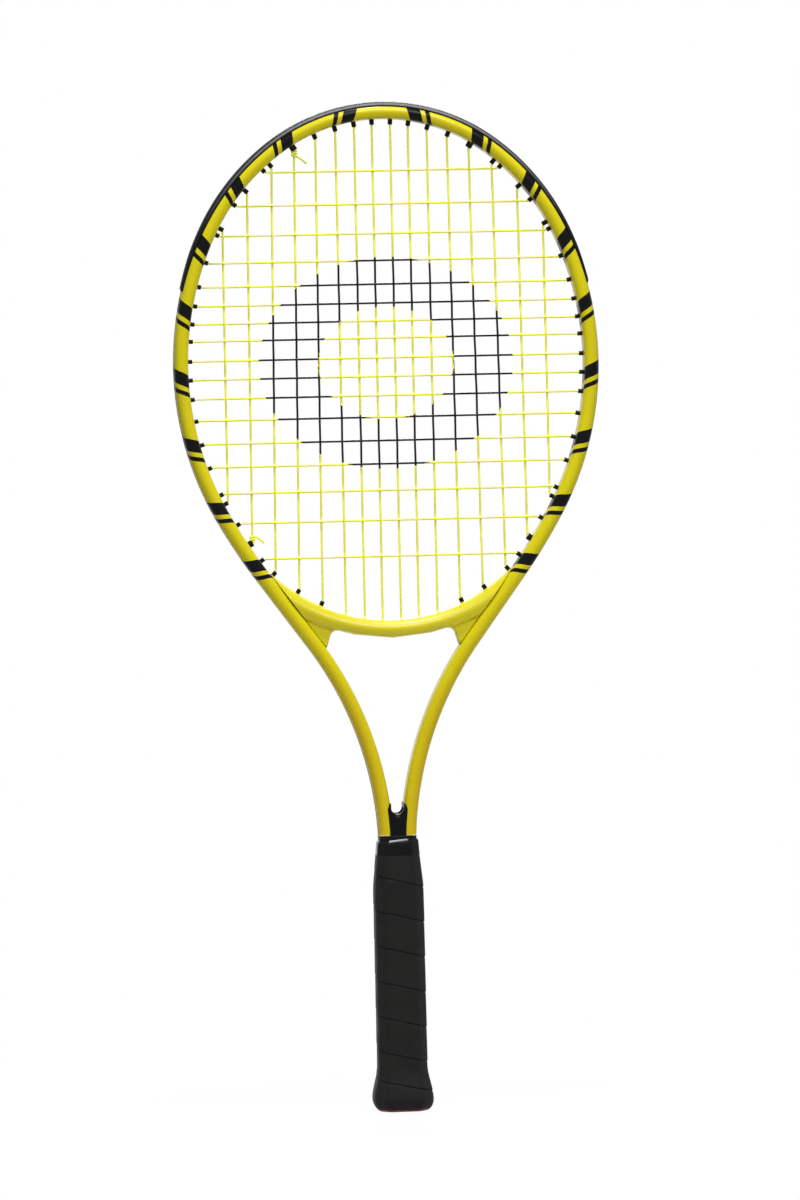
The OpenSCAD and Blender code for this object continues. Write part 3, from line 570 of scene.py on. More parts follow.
def yoke():
    """Rings across the bridge. Ring t runs from the upper arc to the lower edge and back behind.

    Half depth = root of (bar squared + web squared). The bar is half an ellipse in the distance below the
    arc. The web rises from the bar's crest to a constant, and only towards the legs. Both are rounded off
    near the lower edge."""
    first, last = leg_share
    parts = [(under_edge, 40, 0.0, first), (leg_edge, 44, first, last), (seam_edge, 52, last, 1.0)]
    runs = [along_line(line, np.linspace(0, 1, n, endpoint=False)) for line, n, _, _ in parts]
    lower = np.concatenate(runs + [seam_edge[-1:]])
    t = np.concatenate([np.linspace(a, b, n, endpoint=False) for _, n, a, b in parts] + [[1.0]])
    angle = t * wing_angle
    upper = bridge_c + bridge_r * np.stack([np.sin(angle), -np.cos(angle)], -1)
    v = (1 - np.cos(np.linspace(0, np.pi, points_down))) / 2
    plan = upper[:, None] * (1 - v[:, None]) + lower[:, None] * v[:, None]
    below = np.linalg.norm(plan - bridge_c, axis=2) - bridge_r
    bar = bar_half_depth * np.sqrt(np.clip(1 - (below / (bar_w / 2) - 1) ** 2, 0, 1))
    fade = smooth_step(t, *web_fade)[:, None]
    web = web_half_depth * fade * smooth_step(below, bar_w / 2, bar_w)
    depth = np.sqrt(bar ** 2 + web ** 2 + 1e-9)
    edge_r = np.interp(t, edge_at, edge_round)[:, None]
    to_edge = np.linalg.norm(plan - lower[:, None], axis=2)
    depth = depth * np.sqrt(1 - (1 - np.clip(to_edge / edge_r, 0, 1)) ** 2)
    front = np.stack([plan[..., 0], -depth, plan[..., 1]], -1)
    back = (front * [1, -1, 1])[:, -2:0:-1]
    right = np.concatenate([front, back], 1)
    left = (right * [-1, 1, 1])[:0:-1]
    return np.concatenate([left, right])


def bridge_gloss():
    """Moulded plastic, sprayed like the tube: same yellow, softer gloss, broad and shallow flow marks."""
    material, tree, shader = new_finish(
        "bridge_gloss", Coat_Weight=0.4, Coat_Roughness=0.36, IOR=1.45, Specular_IOR_Level=0.28)
    cloudy = clouded(tree, 45, srgb(219, 210, 17), deep_yellow, 0.3)
    dress(tree, shader, cloudy, noise(tree, 7, 4), (0.28, 0.4))
    relief(tree, shader, noise(tree, 2.6, 1), 0.008)
    return material


make_piece(
    "bridge_yoke", [ring_surface(yoke())], bridge_gloss(), ["throat_bridge"], crease=60)

# %% [markdown]
# ## String bed
#
# One length of string makes the whole bed. It goes up and down through the mains, then weaves over and
# under them as the crosses, and is tied off with two knots. Straight cylinders would pass through each
# other and end in the air, so the route is one long list of points: runs across the head joined by loops in
# the tube's groove. The weave is a cosine whose phase counts crossings, with opposite signs on mains and
# crosses.

# %% Ends of the mains
slot_depth = 2.6
slot_z_gap = slot_depth - rest_gap - string_d / 2
fan_angle = np.arcsin(main_x_throat[straight_mains:bridge_mains] / (bridge_r - barrel_out))
fan_dir = np.stack([np.sin(fan_angle), -np.cos(fan_angle)], -1)


def lower_z(x):
    """Height of the bridge's lower edge, as a broken line of x."""
    return low + np.interp(np.abs(x), [0, lower_mid[0], lower_end[0]], [0, lower_mid[1], lower_end[1]])


def fan_exit_s():
    """Distance along the tube at which each fan main comes out into the groove."""
    start = bridge_c + bridge_r * fan_dir
    reach = (lane_d(0) - (start - splay_top) @ splay_out) / (fan_dir @ splay_out)
    return hoop_end_s + (start + reach[:, None] * fan_dir - splay_top) @ splay_dir


straight_x = main_x_throat[:straight_mains]
throat_in = np.concatenate([
    np.stack([straight_x, bridge_c[1] - np.sqrt(bridge_r ** 2 - straight_x ** 2)], -1),
    bridge_c + (bridge_r - barrel_out) * fan_dir,
    tube_point(side_s, -inset)])
throat_s = np.concatenate([0 * straight_x, fan_exit_s(), side_s])
tip_in = tube_point(tip_s, -inset)
cross_in = tube_point(cross_s, -inset)
print("mains through the bridge:", 2 * len(fan_angle), "fanned,", 2 * straight_mains, "straight")

# %% Runs across the head
weave = 0.75
run_step = 1.5
grommet_run = 9.0


def put(x_z, side, y=0.0):
    """A point or points (x, z) on the right half as 3-D points, mirrored for the left (side -1)."""
    x_z = np.atleast_2d(x_z)
    return np.stack([side * x_z[:, 0], np.broadcast_to(y, len(x_z)), x_z[:, 1]], -1)


def ease(distance):
    """0 at a grommet, 1 once the string is clear of it."""
    return smooth_step(distance, 0, grommet_run)


def run_across(start, end, phase):
    """A taut string between two grommets, waved in Y by the cosine of its count of crossings."""
    length = np.linalg.norm(end - start)
    f = np.linspace(0, 1, int(length / run_step))[:, None]
    line = start * (1 - f) + end * f
    from_end = np.minimum(f, 1 - f)[:, 0] * length
    return np.stack([line[:, 0], weave * phase(line) * ease(from_end), line[:, 1]], -1)


print("strings wave", weave, "mm to either side of their plane")

# %% Mains and crosses
last_main = len(main_x_tip) - 1
last_cross = len(cross_z) - 1


def main_run(i, side):
    """Main i, counted from the middle, from throat to tip, with its outer ends in groove or bridge."""
    count = last_main - i if side < 0 else last_main + 1 + i
    across = np.array([side, 1])

    def phase(line):
        passed = np.interp(-line[:, 1], -cross_z, np.arange(last_cross + 1))
        return -np.cos(np.pi * (passed + count))

    middle = run_across(throat_in[i] * across, tip_in[i] * across, phase)
    if i < straight_mains:
        x = main_x_throat[i]
        foot = put([x, lower_z(x) + slot_z_gap], side)
    else:
        foot = put(tube_point(throat_s[i], lane_d(0)), side)
    return np.concatenate([foot, middle, put(tube_point(tip_s[i], lane_d(0)), side)])


def main_x_at(z):
    """x of all sixteen mains at a height, left to right."""
    f = (z - throat_in[:, 1]) / (tip_in[:, 1] - throat_in[:, 1])
    x = throat_in[:, 0] * (1 - f) + tip_in[:, 0] * f
    return np.concatenate([-x[::-1], x])


def cross_run(j, side):
    """Cross j from one side of the head to the other, over and under the mains that it meets."""
    mains = main_x_at(cross_z[j])

    def phase(line):
        return np.cos(np.pi * (np.interp(line[:, 0], mains, np.arange(len(mains))) + j))

    start = cross_in[j] * [side, 1]
    middle = run_across(start, start * [-1, 1], phase)
    ends = put(tube_point(cross_s[j], lane_d(0)), side), put(tube_point(cross_s[j], lane_d(0)), -side)
    return np.concatenate([ends[0], middle, ends[1]])


print("a middle main runs", round(float(np.ptp(main_run(0, 1)[:, 2]))), "mm from end to end")

# %% Loops, and the whole route
loop_y = 1.15
loop_step = 2.0
fewest_points = 6
loop_power = 0.4
slot_points = 9
tied_main = 4


def groove_loop(s_from, s_to, side, y, level=0):
    """A loop in the groove between two holes, bowed aside by y times a power of half a sine wave."""
    f = np.linspace(0, 1, max(fewest_points, int(abs(s_to - s_from) / loop_step)))
    aside = y * np.sin(np.pi * f) ** loop_power
    return put(tube_point(s_from + (s_to - s_from) * f, lane_d(level)), side, aside)


def under_loop(x_from, x_to):
    """A loop in the slot under the bridge."""
    x = np.linspace(x_from, x_to, slot_points)
    return np.stack([x, 0 * x, lower_z(x) + slot_z_gap], -1)


def throat_loop(i, k, side):
    """The loop between two neighbouring mains at the throat."""
    if max(i, k) < straight_mains:
        return under_loop(side * main_x_throat[i], side * main_x_throat[k])
    return groove_loop(throat_s[i], throat_s[k], side, loop_y)


def string_route():
    """Left mains from the outermost in, right mains from the middle out, then the crosses upwards."""
    legs = []
    for i in range(last_main, -1, -1):
        up = i % 2 == 1
        legs += [main_run(i, -1) if up else main_run(i, -1)[::-1]]
        legs += [groove_loop(tip_s[i], tip_s[i - 1], -1, loop_y)] if up else []
        legs += [throat_loop(i, i - 1, -1)] if not up and i > 0 else []
    legs += [under_loop(-main_x_throat[0], main_x_throat[0])]
    for i in range(last_main + 1):
        up = i % 2 == 0
        legs += [main_run(i, 1) if up else main_run(i, 1)[::-1]]
        legs += [groove_loop(tip_s[i], tip_s[i + 1], 1, loop_y)] if up else []
        legs += [throat_loop(i, i + 1, 1)] if not up and i < last_main else []
    legs += [groove_loop(side_s[-1], cross_s[last_cross], 1, 0.0, 1)]
    for j in range(last_cross, -1, -1):
        side = 1 if j % 2 == 0 else -1
        legs += [cross_run(j, side)]
        legs += [groove_loop(cross_s[j], cross_s[j - 1], -side, -loop_y)] if j > 0 else []
    return np.concatenate(legs + [groove_loop(cross_s[0], tip_s[tied_main], -1, 0.0, 1)])


route_points = string_route()
print("route of the string:", len(route_points), "points")


# %% A tube along the route, and two knots
def even_steps(points, step):
    """The same line with points at even steps, its corners eased by a short running mean."""
    run = np.concatenate([[0], np.cumsum(np.linalg.norm(np.diff(points, axis=0), axis=1) + 1e-9)])
    at = np.linspace(0, run[-1], int(run[-1] / step))
    even = np.stack([np.interp(at, run, points[:, n]) for n in range(3)], -1)
    weights = np.array([1, 2, 1]) / 4
    padded = np.pad(even, ((1, 1), (0, 0)), mode="edge")
    return sum(w * padded[n:n + len(even)] for n, w in enumerate(weights))


def round_tube(points, diameter, reference, sides=8):
    """Circles square to a line: first axis the reference made square to the line, second axis their cross."""
    ahead = np.gradient(points, axis=0)
    ahead /= np.linalg.norm(ahead, axis=1, keepdims=True)
    first = reference - ahead * (ahead @ reference)[:, None]
    first /= np.linalg.norm(first, axis=1, keepdims=True)
    second = np.cross(ahead, first)
    angle = np.linspace(0, 2 * np.pi, sides, endpoint=False)[None, :, None]
    return points[:, None] + diameter / 2 * (np.cos(angle) * first[:, None] + np.sin(angle) * second[:, None])


coated_d = 1.5
string_step = 1.4
knot_r = 0.72 * coated_d + 0.4
knot_rise = 0.6 * coated_d
knot_gap = 0.4
knot_lead = 1.6
knot_half_turns = (-0.5, 4)
tail_droop = 1.2
start_main = 6


def knot(place, down, tail):
    """Two turns of a helix round a main just inside its grommet, then a short tail that droops with the
    square of its length."""
    turn = np.linspace(*knot_half_turns, 60) * np.pi
    x = place[0] + knot_r * np.cos(turn)
    y = knot_r * np.sin(turn)
    z = place[1] - down * (knot_gap + knot_rise * (turn + knot_lead) / np.pi)
    helix = np.stack([x, y, z], -1)
    f = np.linspace(0, 1, 12)[1:, None]
    droop = np.array([0, 0, -tail_droop]) * f ** 2
    return np.concatenate([helix, helix[-1] + f * np.array(tail) + droop])


route = even_steps(route_points, string_step)
knots = [knot(tip_in[tied_main] * [-1, 1], 1, (6.5, -1.5, -3.8))]
knots += [knot(throat_in[start_main] * [-1, 1], -1, (6.5, -1.5, -3.5))]
string_parts = [ring_surface(round_tube(route, coated_d, np.array([0.0, 1.0, 0.0])))]
string_parts += [ring_surface(round_tube(line, coated_d, np.array([0.0, 0.0, 1.0]))) for line in knots]
print("string length", round(len(route) * string_step / 1000, 2), "m")

# %% Nylon with a printed ring
ring_z = 509.0
ring_half_w = 88.0
ring_half_h = 73.0
ring_hole = 0.54
ring_ragged = 0.03


def string_finish():
    """Lemon nylon with a printed oval ring: ink where the ellipse's radius lies between two shares."""
    material, tree, shader = new_finish(
        "string_nylon", Roughness=0.3, Specular_IOR_Level=0.15)
    mapping = tree.nodes.new("ShaderNodeMapping")
    mapping.vector_type = "TEXTURE"
    mapping.inputs["Location"].default_value = np.array([0, 0, ring_z]) * MM
    mapping.inputs["Scale"].default_value = (ring_half_w * MM, 1, ring_half_h * MM)
    tree.links.new(object_place(tree), mapping.inputs["Vector"])
    axes = axes_of(tree, mapping.outputs[0])
    square = math(tree, "ADD", math(tree, "POWER", axes[0], 2.0), math(tree, "POWER", axes[2], 2.0))
    ragged = math(tree, "MULTIPLY_ADD", noise(tree, 1.5), ring_ragged, math(tree, "SQRT", square))
    inked = math(tree, "COMPARE", ragged, (1 + ring_hole) / 2, (1 - ring_hole) / 2)
    lemon = clouded(tree, 25, srgb(255, 255, 90), srgb(252, 254, 80), 0.4)
    connect(tree, blend(tree, inked, lemon, ink), shader.inputs["Base Color"])
    relief(tree, shader, noise(tree, 0.5, 1), 0.01)
    return material


make_piece("string_weave", string_parts, string_finish(), ["string_bed"], crease=70)

# %% [markdown]
# ## Handle
#
# Under the tape the handle is an octagon. Leather or cushion tape pulled round it softens the corners, so
# its outline is not eight straight lines but a smooth blend of them: each face gives a distance along a
# ray, and a high power mean keeps the nearest one while it rounds the corners.

# %% Soft octagon
taper_z = 150.0
handle_w = 30.0
handle_d = 26.4
bevel = 5.5
collar_w = 26.6
collar_d = 23.4
soft_power = 26.0
face_angles = np.radians(np.arange(8) * 45)


def half_width(z):
    """Half width of the bare handle: straight, then tapering to the collar."""
    return np.interp(z, [taper_z, handle_top], [handle_w / 2, collar_w / 2])


def half_depth(z):
    """Half depth of the bare handle."""
    return np.interp(z, [taper_z, handle_top], [handle_d / 2, collar_d / 2])


def octagon_radius(theta, wide, deep, grow, power=soft_power, cut=bevel):
    """Radius at an angle: (sum over faces of (cos(theta - face) / distance)^p)^(-1/p)."""
    a = wide + grow
    b = deep + grow
    slant = (a + b - cut - (2 - np.sqrt(2)) * grow) / np.sqrt(2)
    shape = np.broadcast_shapes(np.shape(theta), np.shape(a))
    total = np.zeros(shape)
    for face, distance in zip(face_angles, [a, slant, b, slant] * 2):
        total += np.maximum(0, np.cos(theta - face) / distance) ** power
    return total ** (-1 / power)


def octagon_ring(theta, z, wide, deep, grow, power=soft_power, cut=bevel):
    """Points of a soft octagon at height z."""
    r = octagon_radius(theta, wide, deep, grow, power, cut)
    z = np.broadcast_to(z, r.shape)
    return np.stack([r * np.cos(theta), r * np.sin(theta), z], -1)


print("bare handle", handle_w, "x", handle_d, "mm")

# %% [markdown]
# ## Grip tape
#
# The grip is one band wound upwards from the butt, each turn lapping over the one below. A screw-shaped
# grid follows the band: one direction runs round and round with the winding, the other across the band. So
# the mesh lines lie along the seams, and the raised edge of every turn stays crisp. The faces past the cut
# ends are dropped, and a Solidify modifier gives the tape its thickness.

# %% Thickness, flare and laps of the tape
tape_top = 175.0
tape_t = 1.8
tape_end_t = 0.8
tape_thin = 20.0
butt_w = 41.0
flare_top = 31.0
flare_low = 7.0
lap_dip = 0.3
lap_rise = 0.2
lip_share = 0.045
dip_share = 0.955


def tape_thickness(z):
    """Full over most of the handle, thinner towards the top."""
    return np.interp(z, [tape_top - tape_thin, tape_top], [tape_t, tape_end_t])


def butt_flare(z):
    """Extra half width towards the butt: an S-shaped rise from the flare's top to its full width."""
    at_butt = (butt_w - handle_w) / 2 - tape_t
    return at_butt * (1 - smooth_step(z, flare_low, flare_top))


def lap_profile(w):
    """Rise over the band's mean, across a turn from its lower edge (0) to the next turn's edge (1):
    a rounded lip, a slow fall, and a narrow dip where the next turn presses in."""
    lip = np.sqrt(1 - (1 - np.clip(w / lip_share, 0, 1)) ** 2)
    fall = lap_rise * (1 - w)
    dip = lap_dip * smooth_step(w, dip_share, 1.0)
    return lip * fall - dip - lap_dip * (1 - lip)


print("the butt stands out", round(float(butt_flare(flare_low)), 2), "mm a side under the tape")

# %% Wound band
tape_pitch = 23.9
tape_low = 8.52
first_turn_up = 4.3
first_turn_span = (15, 38)
seam_start = 203.0
turn_steps = 160
spare_turns = 3
turns_below = 1.6
across_tape = np.concatenate([
    np.linspace(0, 0.05, 8), np.linspace(0.09, 0.93, 22), np.linspace(dip_share, 1, 5)])


def wound_band():
    """Points (turn step, across): z = start + pitch * (turns + across), clipped to the tape's cut ends.

    The first turn is wound closer, so its seam stands a little higher than the pitch gives."""
    turns = int(np.ceil((tape_top - tape_low) / tape_pitch)) + spare_turns
    step = np.arange(turns * turn_steps + 1)
    turn = step[:, None] / turn_steps
    raw = tape_low - turns_below * tape_pitch + tape_pitch * (turn + across_tape)
    raw = raw + first_turn_up * (1 - smooth_step(raw, *first_turn_span))
    z = np.clip(raw, tape_low, tape_top)
    theta = np.radians(seam_start) - 2 * np.pi * turn + 0 * across_tape
    grow = tape_thickness(z) - lap_rise / 2 + lap_profile(across_tape) + butt_flare(z)
    return octagon_ring(theta, z, half_width(z), half_depth(z), grow), raw


def corners(grid):
    """The four corner values of every cell of a grid, in order round the cell."""
    return np.stack([grid[:-1, :-1], grid[1:, :-1], grid[1:, 1:], grid[:-1, 1:]], 2)


def band_part(points, raw):
    """The band as a mesh part; its last point across is the first point one turn further on.

    The UV map holds the turns wound so far and the share across the band."""
    steps, width = points.shape[:2]
    index = np.arange(steps * (width - 1)).reshape(steps, width - 1)
    wound = steps - turn_steps
    joined = np.concatenate([index[:wound], index[turn_steps:turn_steps + wound, :1]], 1)
    quads = corners(joined).reshape(-1, 4)
    turn, share = np.meshgrid(np.arange(wound) / turn_steps, across_tape, indexing="ij")
    uv = corners(np.stack([turn, share], -1)).reshape(-1, 4, 2)
    height = raw[:, :-1].ravel()[quads]
    inside = ((height > tape_low) & (height < tape_top)).any(1)
    used, quads = np.unique(quads[inside][:, ::-1], return_inverse=True)
    return points[:, :-1].reshape(-1, 3)[used], quads.reshape(-1, 4), uv[inside][:, ::-1], []


tape_part = band_part(*wound_band())
print("tape:", round((tape_top - tape_low) / tape_pitch, 1), "turns,", len(tape_part[1]), "cells")

# %% Grip
seam_shade = (0.47, 0.486)
pore_mm = 0.9
tape_wall = 0.8


def grip_leather():
    """Matt black cushion tape: fine pores, a slow change in polish where the hand holds it, and seams painted
    dark as dirt and as the shade under each lap's edge.
    """
    material, tree, shader = new_finish("grip_leather", Specular_IOR_Level=0.11)
    wear_and_highlight = clouded(tree, 18, srgb(22, 22, 22), srgb(29, 29, 28), detail=3)
    from_middle = math(tree, "ABSOLUTE", math(tree, "SUBTRACT", uv_place(tree)[1], 0.5))
    # Painted shade and dirt: the seams of the tape are darkened to near black.
    seam = spread(tree, from_middle, 0.0, 1.0, *seam_shade)
    dress(tree, shader, blend(tree, seam, wear_and_highlight, srgb(4, 4, 5)), noise(tree, 12, 4), (0.5, 0.66))
    pores = tree.nodes.new("ShaderNodeTexVoronoi")
    pores.inputs["Scale"].default_value = 1 / (pore_mm * MM)
    tree.links.new(object_place(tree), pores.inputs["Vector"])
    grain = math(tree, "MULTIPLY_ADD", noise(tree, 0.7, 3), 0.6, pores.outputs["Distance"])
    relief(tree, shader, grain, 0.05, 0.6)
    return material


grip_wrap = make_piece("grip_wrap", [tape_part], grip_leather(), ["grip_tape"], crease=50)
wall = grip_wrap.modifiers.new("tape_wall", "SOLIDIFY")
wall.thickness = tape_wall * MM
wall.offset = -1

# %% [markdown]
# ## Finishing band and butt cap
#
# A glossy band closes the tape's upper end, with a rounded shoulder that catches the light from above. At
# the other end a moulded cap flares under the tape, so that the hand can't slip off. Spinning a profile
# would make round ones, so both are turned on an octagon instead of a circle: a profile of height and half
# width, carried round all angles.

# %% Turned octagons
theta_ring = np.linspace(0, 2 * np.pi, 144, endpoint=False)


def turned(profile, power=soft_power, cut=bevel):
    """Rings of a profile of (height, growth, bare half width, bare half depth) rows."""
    z, grow, wide, deep = [column[:, None] for column in np.asarray(profile).T]
    return octagon_ring(theta_ring[None, :], z, wide, deep, grow, power, cut)


def closed_loop(rings):
    """The first ring again after the last, which closes a profile into a solid ring."""
    return np.concatenate([rings, rings[:1]])


print("a turned ring has", len(theta_ring), "points")

# %% Finishing band
crisp_power = 34.0
finish_h = 10.9
finish_slant = 0.075
band_lap = 0.6
band_over = 0.06
neck = 0.55
shoulder = 2.5
shoulder_in = 1.5
shoulder_power = 1.1


def band_profile():
    """Up the outside, over the shoulder and down the inside. The shoulder is a quarter of the curve
    |x|^p + |y|^p = 1, with a power p so near to 1 that it is almost a slope."""
    lowest = tape_top - band_lap
    highest = tape_top + finish_h
    angle = np.linspace(0, np.pi / 2, 14)
    rim = tape_end_t + band_over
    over = highest - shoulder * (1 - np.sin(angle) ** (2 / shoulder_power))
    inwards = (neck + shoulder_in) * np.cos(angle) ** (2 / shoulder_power) - shoulder_in
    z = np.concatenate([[lowest, lowest + 0.1, lowest + 0.3], over, [lowest]])
    grow = np.concatenate([[-0.1, rim - 0.1, rim], inwards, [-shoulder_in]])
    return np.stack([z, grow, half_width(z), half_depth(z)], -1)


def slanted_band():
    """The band's rings, leaning with x more and more towards the upper edge, as tape is seldom cut square."""
    rings = turned(band_profile(), crisp_power)
    share = np.clip((rings[..., 2] - tape_top) / finish_h, 0, 1)
    rings[..., 2] += finish_slant * rings[..., 0] * share
    return closed_loop(rings)


def tape_gloss():
    """Smooth vinyl band: almost plain black, glossy, with faint stretch marks round it."""
    material, tree, shader = new_finish("tape_gloss", Specular_IOR_Level=0.1)
    shade = clouded(tree, 10, srgb(8, 8, 10), srgb(13, 13, 15))
    dress(tree, shader, shade, noise(tree, 5, 3, (1, 1, 5)), (0.16, 0.2))
    relief(tree, shader, noise(tree, 2.5, 2, (1, 1, 6)), 0.006)
    return material


make_piece(
    "finish_band", [ring_surface(slanted_band(), caps=False)],
    tape_gloss(), ["finishing_tape"], crease=60)

# %% Butt cap
plate_t = 1.6
cap_floor = 4.4
cap_top = 30.0
cap_wall = 0.6
butt_z = 8.5
flange_z = butt_z - 0.3
flange_r = 0.1
spigot_r = 8.05
foot_in = 5.4
plate_gap = 0.1
socket_gap = 0.05
cap_power = 22.0


def butt_side(z):
    """How far the butt's side stands out from the handle's at height z: a quarter of an ellipse, from the
    flat foot of the end plate up to the flange."""
    drop = 1 - z / flange_z
    return (butt_w - handle_w) / 2 - foot_in * (1 - np.sqrt(1 - drop ** 2))


def handle_rows(z, grow):
    """Rows of a profile that grows from the straight part of the bare handle."""
    return np.stack([z, grow, np.full(len(z), handle_w / 2), np.full(len(z), handle_d / 2)], -1)


def cap_profile():
    """Outside: the butt's side above the end plate, up to the flange. Inside: the handle's socket."""
    flange = (butt_w - handle_w) / 2
    spigot = spigot_r - handle_w / 2
    low_z = plate_t + plate_gap
    floor_z = plate_t + cap_floor
    side_z = low_z + (flange_z - low_z) * (1 - np.cos(np.linspace(0, np.pi / 2, 14)))
    side = np.stack([side_z, butt_side(side_z)], -1)
    edge = arc((butt_z - flange_r, flange - flange_r), flange_r, 90, 0, 4)
    socket = [[butt_z, flange - tape_t], [cap_top, cap_wall], [cap_top, socket_gap],
              [floor_z, socket_gap], [floor_z, spigot]]
    return handle_rows(*np.concatenate([[[low_z, spigot]], side, edge, socket]).T)


scuff_lift = 10


def moulded_black(name, shade, grain_mm=0.6, rough=(0.36, 0.52), specular=0.1):
    """Black moulded plastic: spark-eroded grain, slow changes of polish, a few paler scuffs."""
    material, tree, shader = new_finish(name, Specular_IOR_Level=specular)
    scuffs = spread(tree, noise(tree, 6, 6), 0.0, 1.0, 0.62, 0.8)
    wear_and_highlight = shade + scuff_lift
    colour = blend(tree, scuffs, srgb(shade, shade, shade), srgb(wear_and_highlight, wear_and_highlight, wear_and_highlight))
    dress(tree, shader, colour, noise(tree, 8, 4), rough)
    relief(tree, shader, noise(tree, grain_mm, 2), 0.03, 0.7)
    return material


cap_black = moulded_black("cap_black", 25, 0.6, (0.5, 0.62))
make_piece(
    "cap_shell", [ring_surface(closed_loop(turned(cap_profile(), cap_power)), caps=False)],
    cap_black, ["butt_cap"], crease=50)

# %% [markdown]
# ## End plate
#
# A dark red plate closes the cap, and the racket stands on it. It is a flat moulding whose edge carries on
# the curve of the cap, so a short turned octagon on the same formula is all it takes.

# %% Plate under the cap
plate_over = 0.06


def plate_red():
    """Dark red end plate: satin, with moulding grain."""
    material, tree, shader = new_finish("plate_red", Specular_IOR_Level=0.2)
    mottled = clouded(tree, 5, srgb(96, 17, 24), srgb(110, 22, 30))
    dress(tree, shader, mottled, noise(tree, 3, 3), (0.4, 0.55))
    relief(tree, shader, noise(tree, 0.7, 2), 0.02)
    return material


plate_z = (plate_t + plate_over) * np.linspace(0, 1, 10) ** 2
plate_rings = turned(handle_rows(plate_z, butt_side(plate_z)), cap_power)
make_piece("foot_plate", [ring_surface(plate_rings)], plate_red(), ["butt_plate"])

# %% [markdown]
# ## Handle core
#
# Both halves of the handle close round the ends of the tubes. Tape hides them, apart from a short collar at
# the top, which is cut close to the tubes. A loft through a few octagons is enough: the cut of the corners
# changes with height, so that the collar just covers the round tubes inside it.

# %% Core with its collar
collar_fit_w = 12.75
collar_fit_d = 10.9
collar_cut = 3.7
collar_step = (179.0, 184.0)
core_low = 6.2
core_edge = 0.5


def handle_core():
    """Octagons up the handle: the bare handle first, then an S-shaped step in to the collar, and a small
    rounded top edge."""
    angle = np.linspace(0, np.pi / 2, 6)
    tapered_z = np.linspace(taper_z, collar_step[0] - 1, 5)
    side_z = np.concatenate([[core_low], tapered_z, np.linspace(*collar_step, 9)])
    z = np.concatenate([side_z, handle_top - core_edge + core_edge * np.sin(angle)])
    grow = np.concatenate([0 * side_z, core_edge * np.cos(angle) - core_edge])
    step = smooth_step(z, *collar_step)
    wide = half_width(z) * (1 - step) + collar_fit_w * step
    deep = half_depth(z) * (1 - step) + collar_fit_d * step
    cut = bevel * (1 - step) + collar_cut * step
    return turned(np.stack([z, grow, wide, deep], -1), crisp_power, cut[:, None])


shell_black = moulded_black("shell_black", 9, 0.7, (0.34, 0.5))
make_piece(
    "handle_core", [ring_surface(handle_core())], shell_black,
    ["handle_shell_front", "handle_shell_rear"], crease=50)

# %% [markdown]
# ## Throat plug
#
# Between the shafts sits a forked rubber plug that hugs both tubes. A bevelled copy of the CAD solid would
# leave its notch a plain slot, but the real one is a saddle: its floor and lips roll over to the front and
# the back. So it is a stack of outlines from front to back, and each outline follows from its depth y.

# %% Sides of the plug
plug_base_x = 5.9
plug_top_x = 7.2
plug_h = 21.7
plug_d = 19.2
prong_h = 4.0
prong_inset = 2.0
plug_edge = 0.5
tube_gap = 0.05
below_bend = fine_s > hoop_end_s


def rolled(y, radius):
    """How far a rolled edge has dropped at depth y: nothing in the middle, the radius at the face."""
    e = np.clip((np.abs(y) - plug_d / 2 + radius) / radius, 0, 1)
    return radius * (1 - np.sqrt(1 - e ** 2))


def plug_side(z, y):
    """Half width at a height and depth: the plug's own taper, or the wall of the tube if that is nearer."""
    top = handle_top + plug_h
    taper = [plug_base_x, plug_top_x, plug_top_x - prong_inset]
    own = np.interp(z, [handle_top, top - prong_h, top], taper)
    centre = np.interp(z, fine_z[below_bend][::-1], fine_x[below_bend][::-1])
    over = np.clip(np.abs(y) - (tube_d - tube_w) / 2, 0, tube_w / 2)
    wall = centre - np.sqrt((tube_w / 2) ** 2 - over ** 2) - tube_gap
    return np.minimum(own, wall) - rolled(y, plug_edge)


print("plug", round(2 * float(plug_side(handle_top, 0.0)), 2), "mm wide at its foot")

# %% Plug as a stack of outlines
notch_z = 14.6
notch_half = 4.2
saddle_r = 3.4
plug_sunk = 0.5
top_roll = 0.25
lip_roll = 0.12
floor_roll = 0.9
least_prong = 0.1
prong_crown = 0.35
side_points = 22
prong_points = 6
notch_points = 18
plug_layers = 45


def plug_stack():
    """Outlines in x and z, one per depth: along the foot, up the side, over the prong, down the notch.

    The notch is half an ellipse, and its floor drops with the saddle's roll."""
    y = plug_d / 2 * np.sin(np.linspace(-np.pi / 2, np.pi / 2, plug_layers))[:, None]
    roll = rolled(y, saddle_r)
    top = handle_top + plug_h - top_roll * roll
    up = np.linspace(0, 1, side_points)[None]
    side_z = handle_top - plug_sunk + (top - handle_top + plug_sunk) * up
    side_x = plug_side(side_z, y)
    lip_x = np.minimum(notch_half + lip_roll * roll, side_x[:, -1:] - least_prong)
    over = np.linspace(0, 1, prong_points)[None]
    prong_x = side_x[:, -1:] * (1 - over) + lip_x * over
    prong_z = top + prong_crown * np.sin(np.pi * over)
    angle = np.linspace(np.pi / 2, 0, notch_points)[None]
    floor_z = handle_top + notch_z - floor_roll * roll
    bend_z = handle_top + notch_z + notch_half
    notch_x = lip_x * np.sin(angle)
    notch_rim = bend_z - (bend_z - floor_z) * np.cos(angle)
    x = np.concatenate([side_x, prong_x[:, 1:], notch_x], 1)
    z = np.concatenate([side_z, prong_z[:, 1:], notch_rim], 1)
    half = np.stack([x, np.broadcast_to(y, x.shape), z], -1)
    return np.concatenate([half, (half * [-1, 1, 1])[:, -2::-1]], 1)


plug_rings = plug_stack()
print("plug:", plug_rings.shape[0], "outlines of", plug_rings.shape[1], "points")

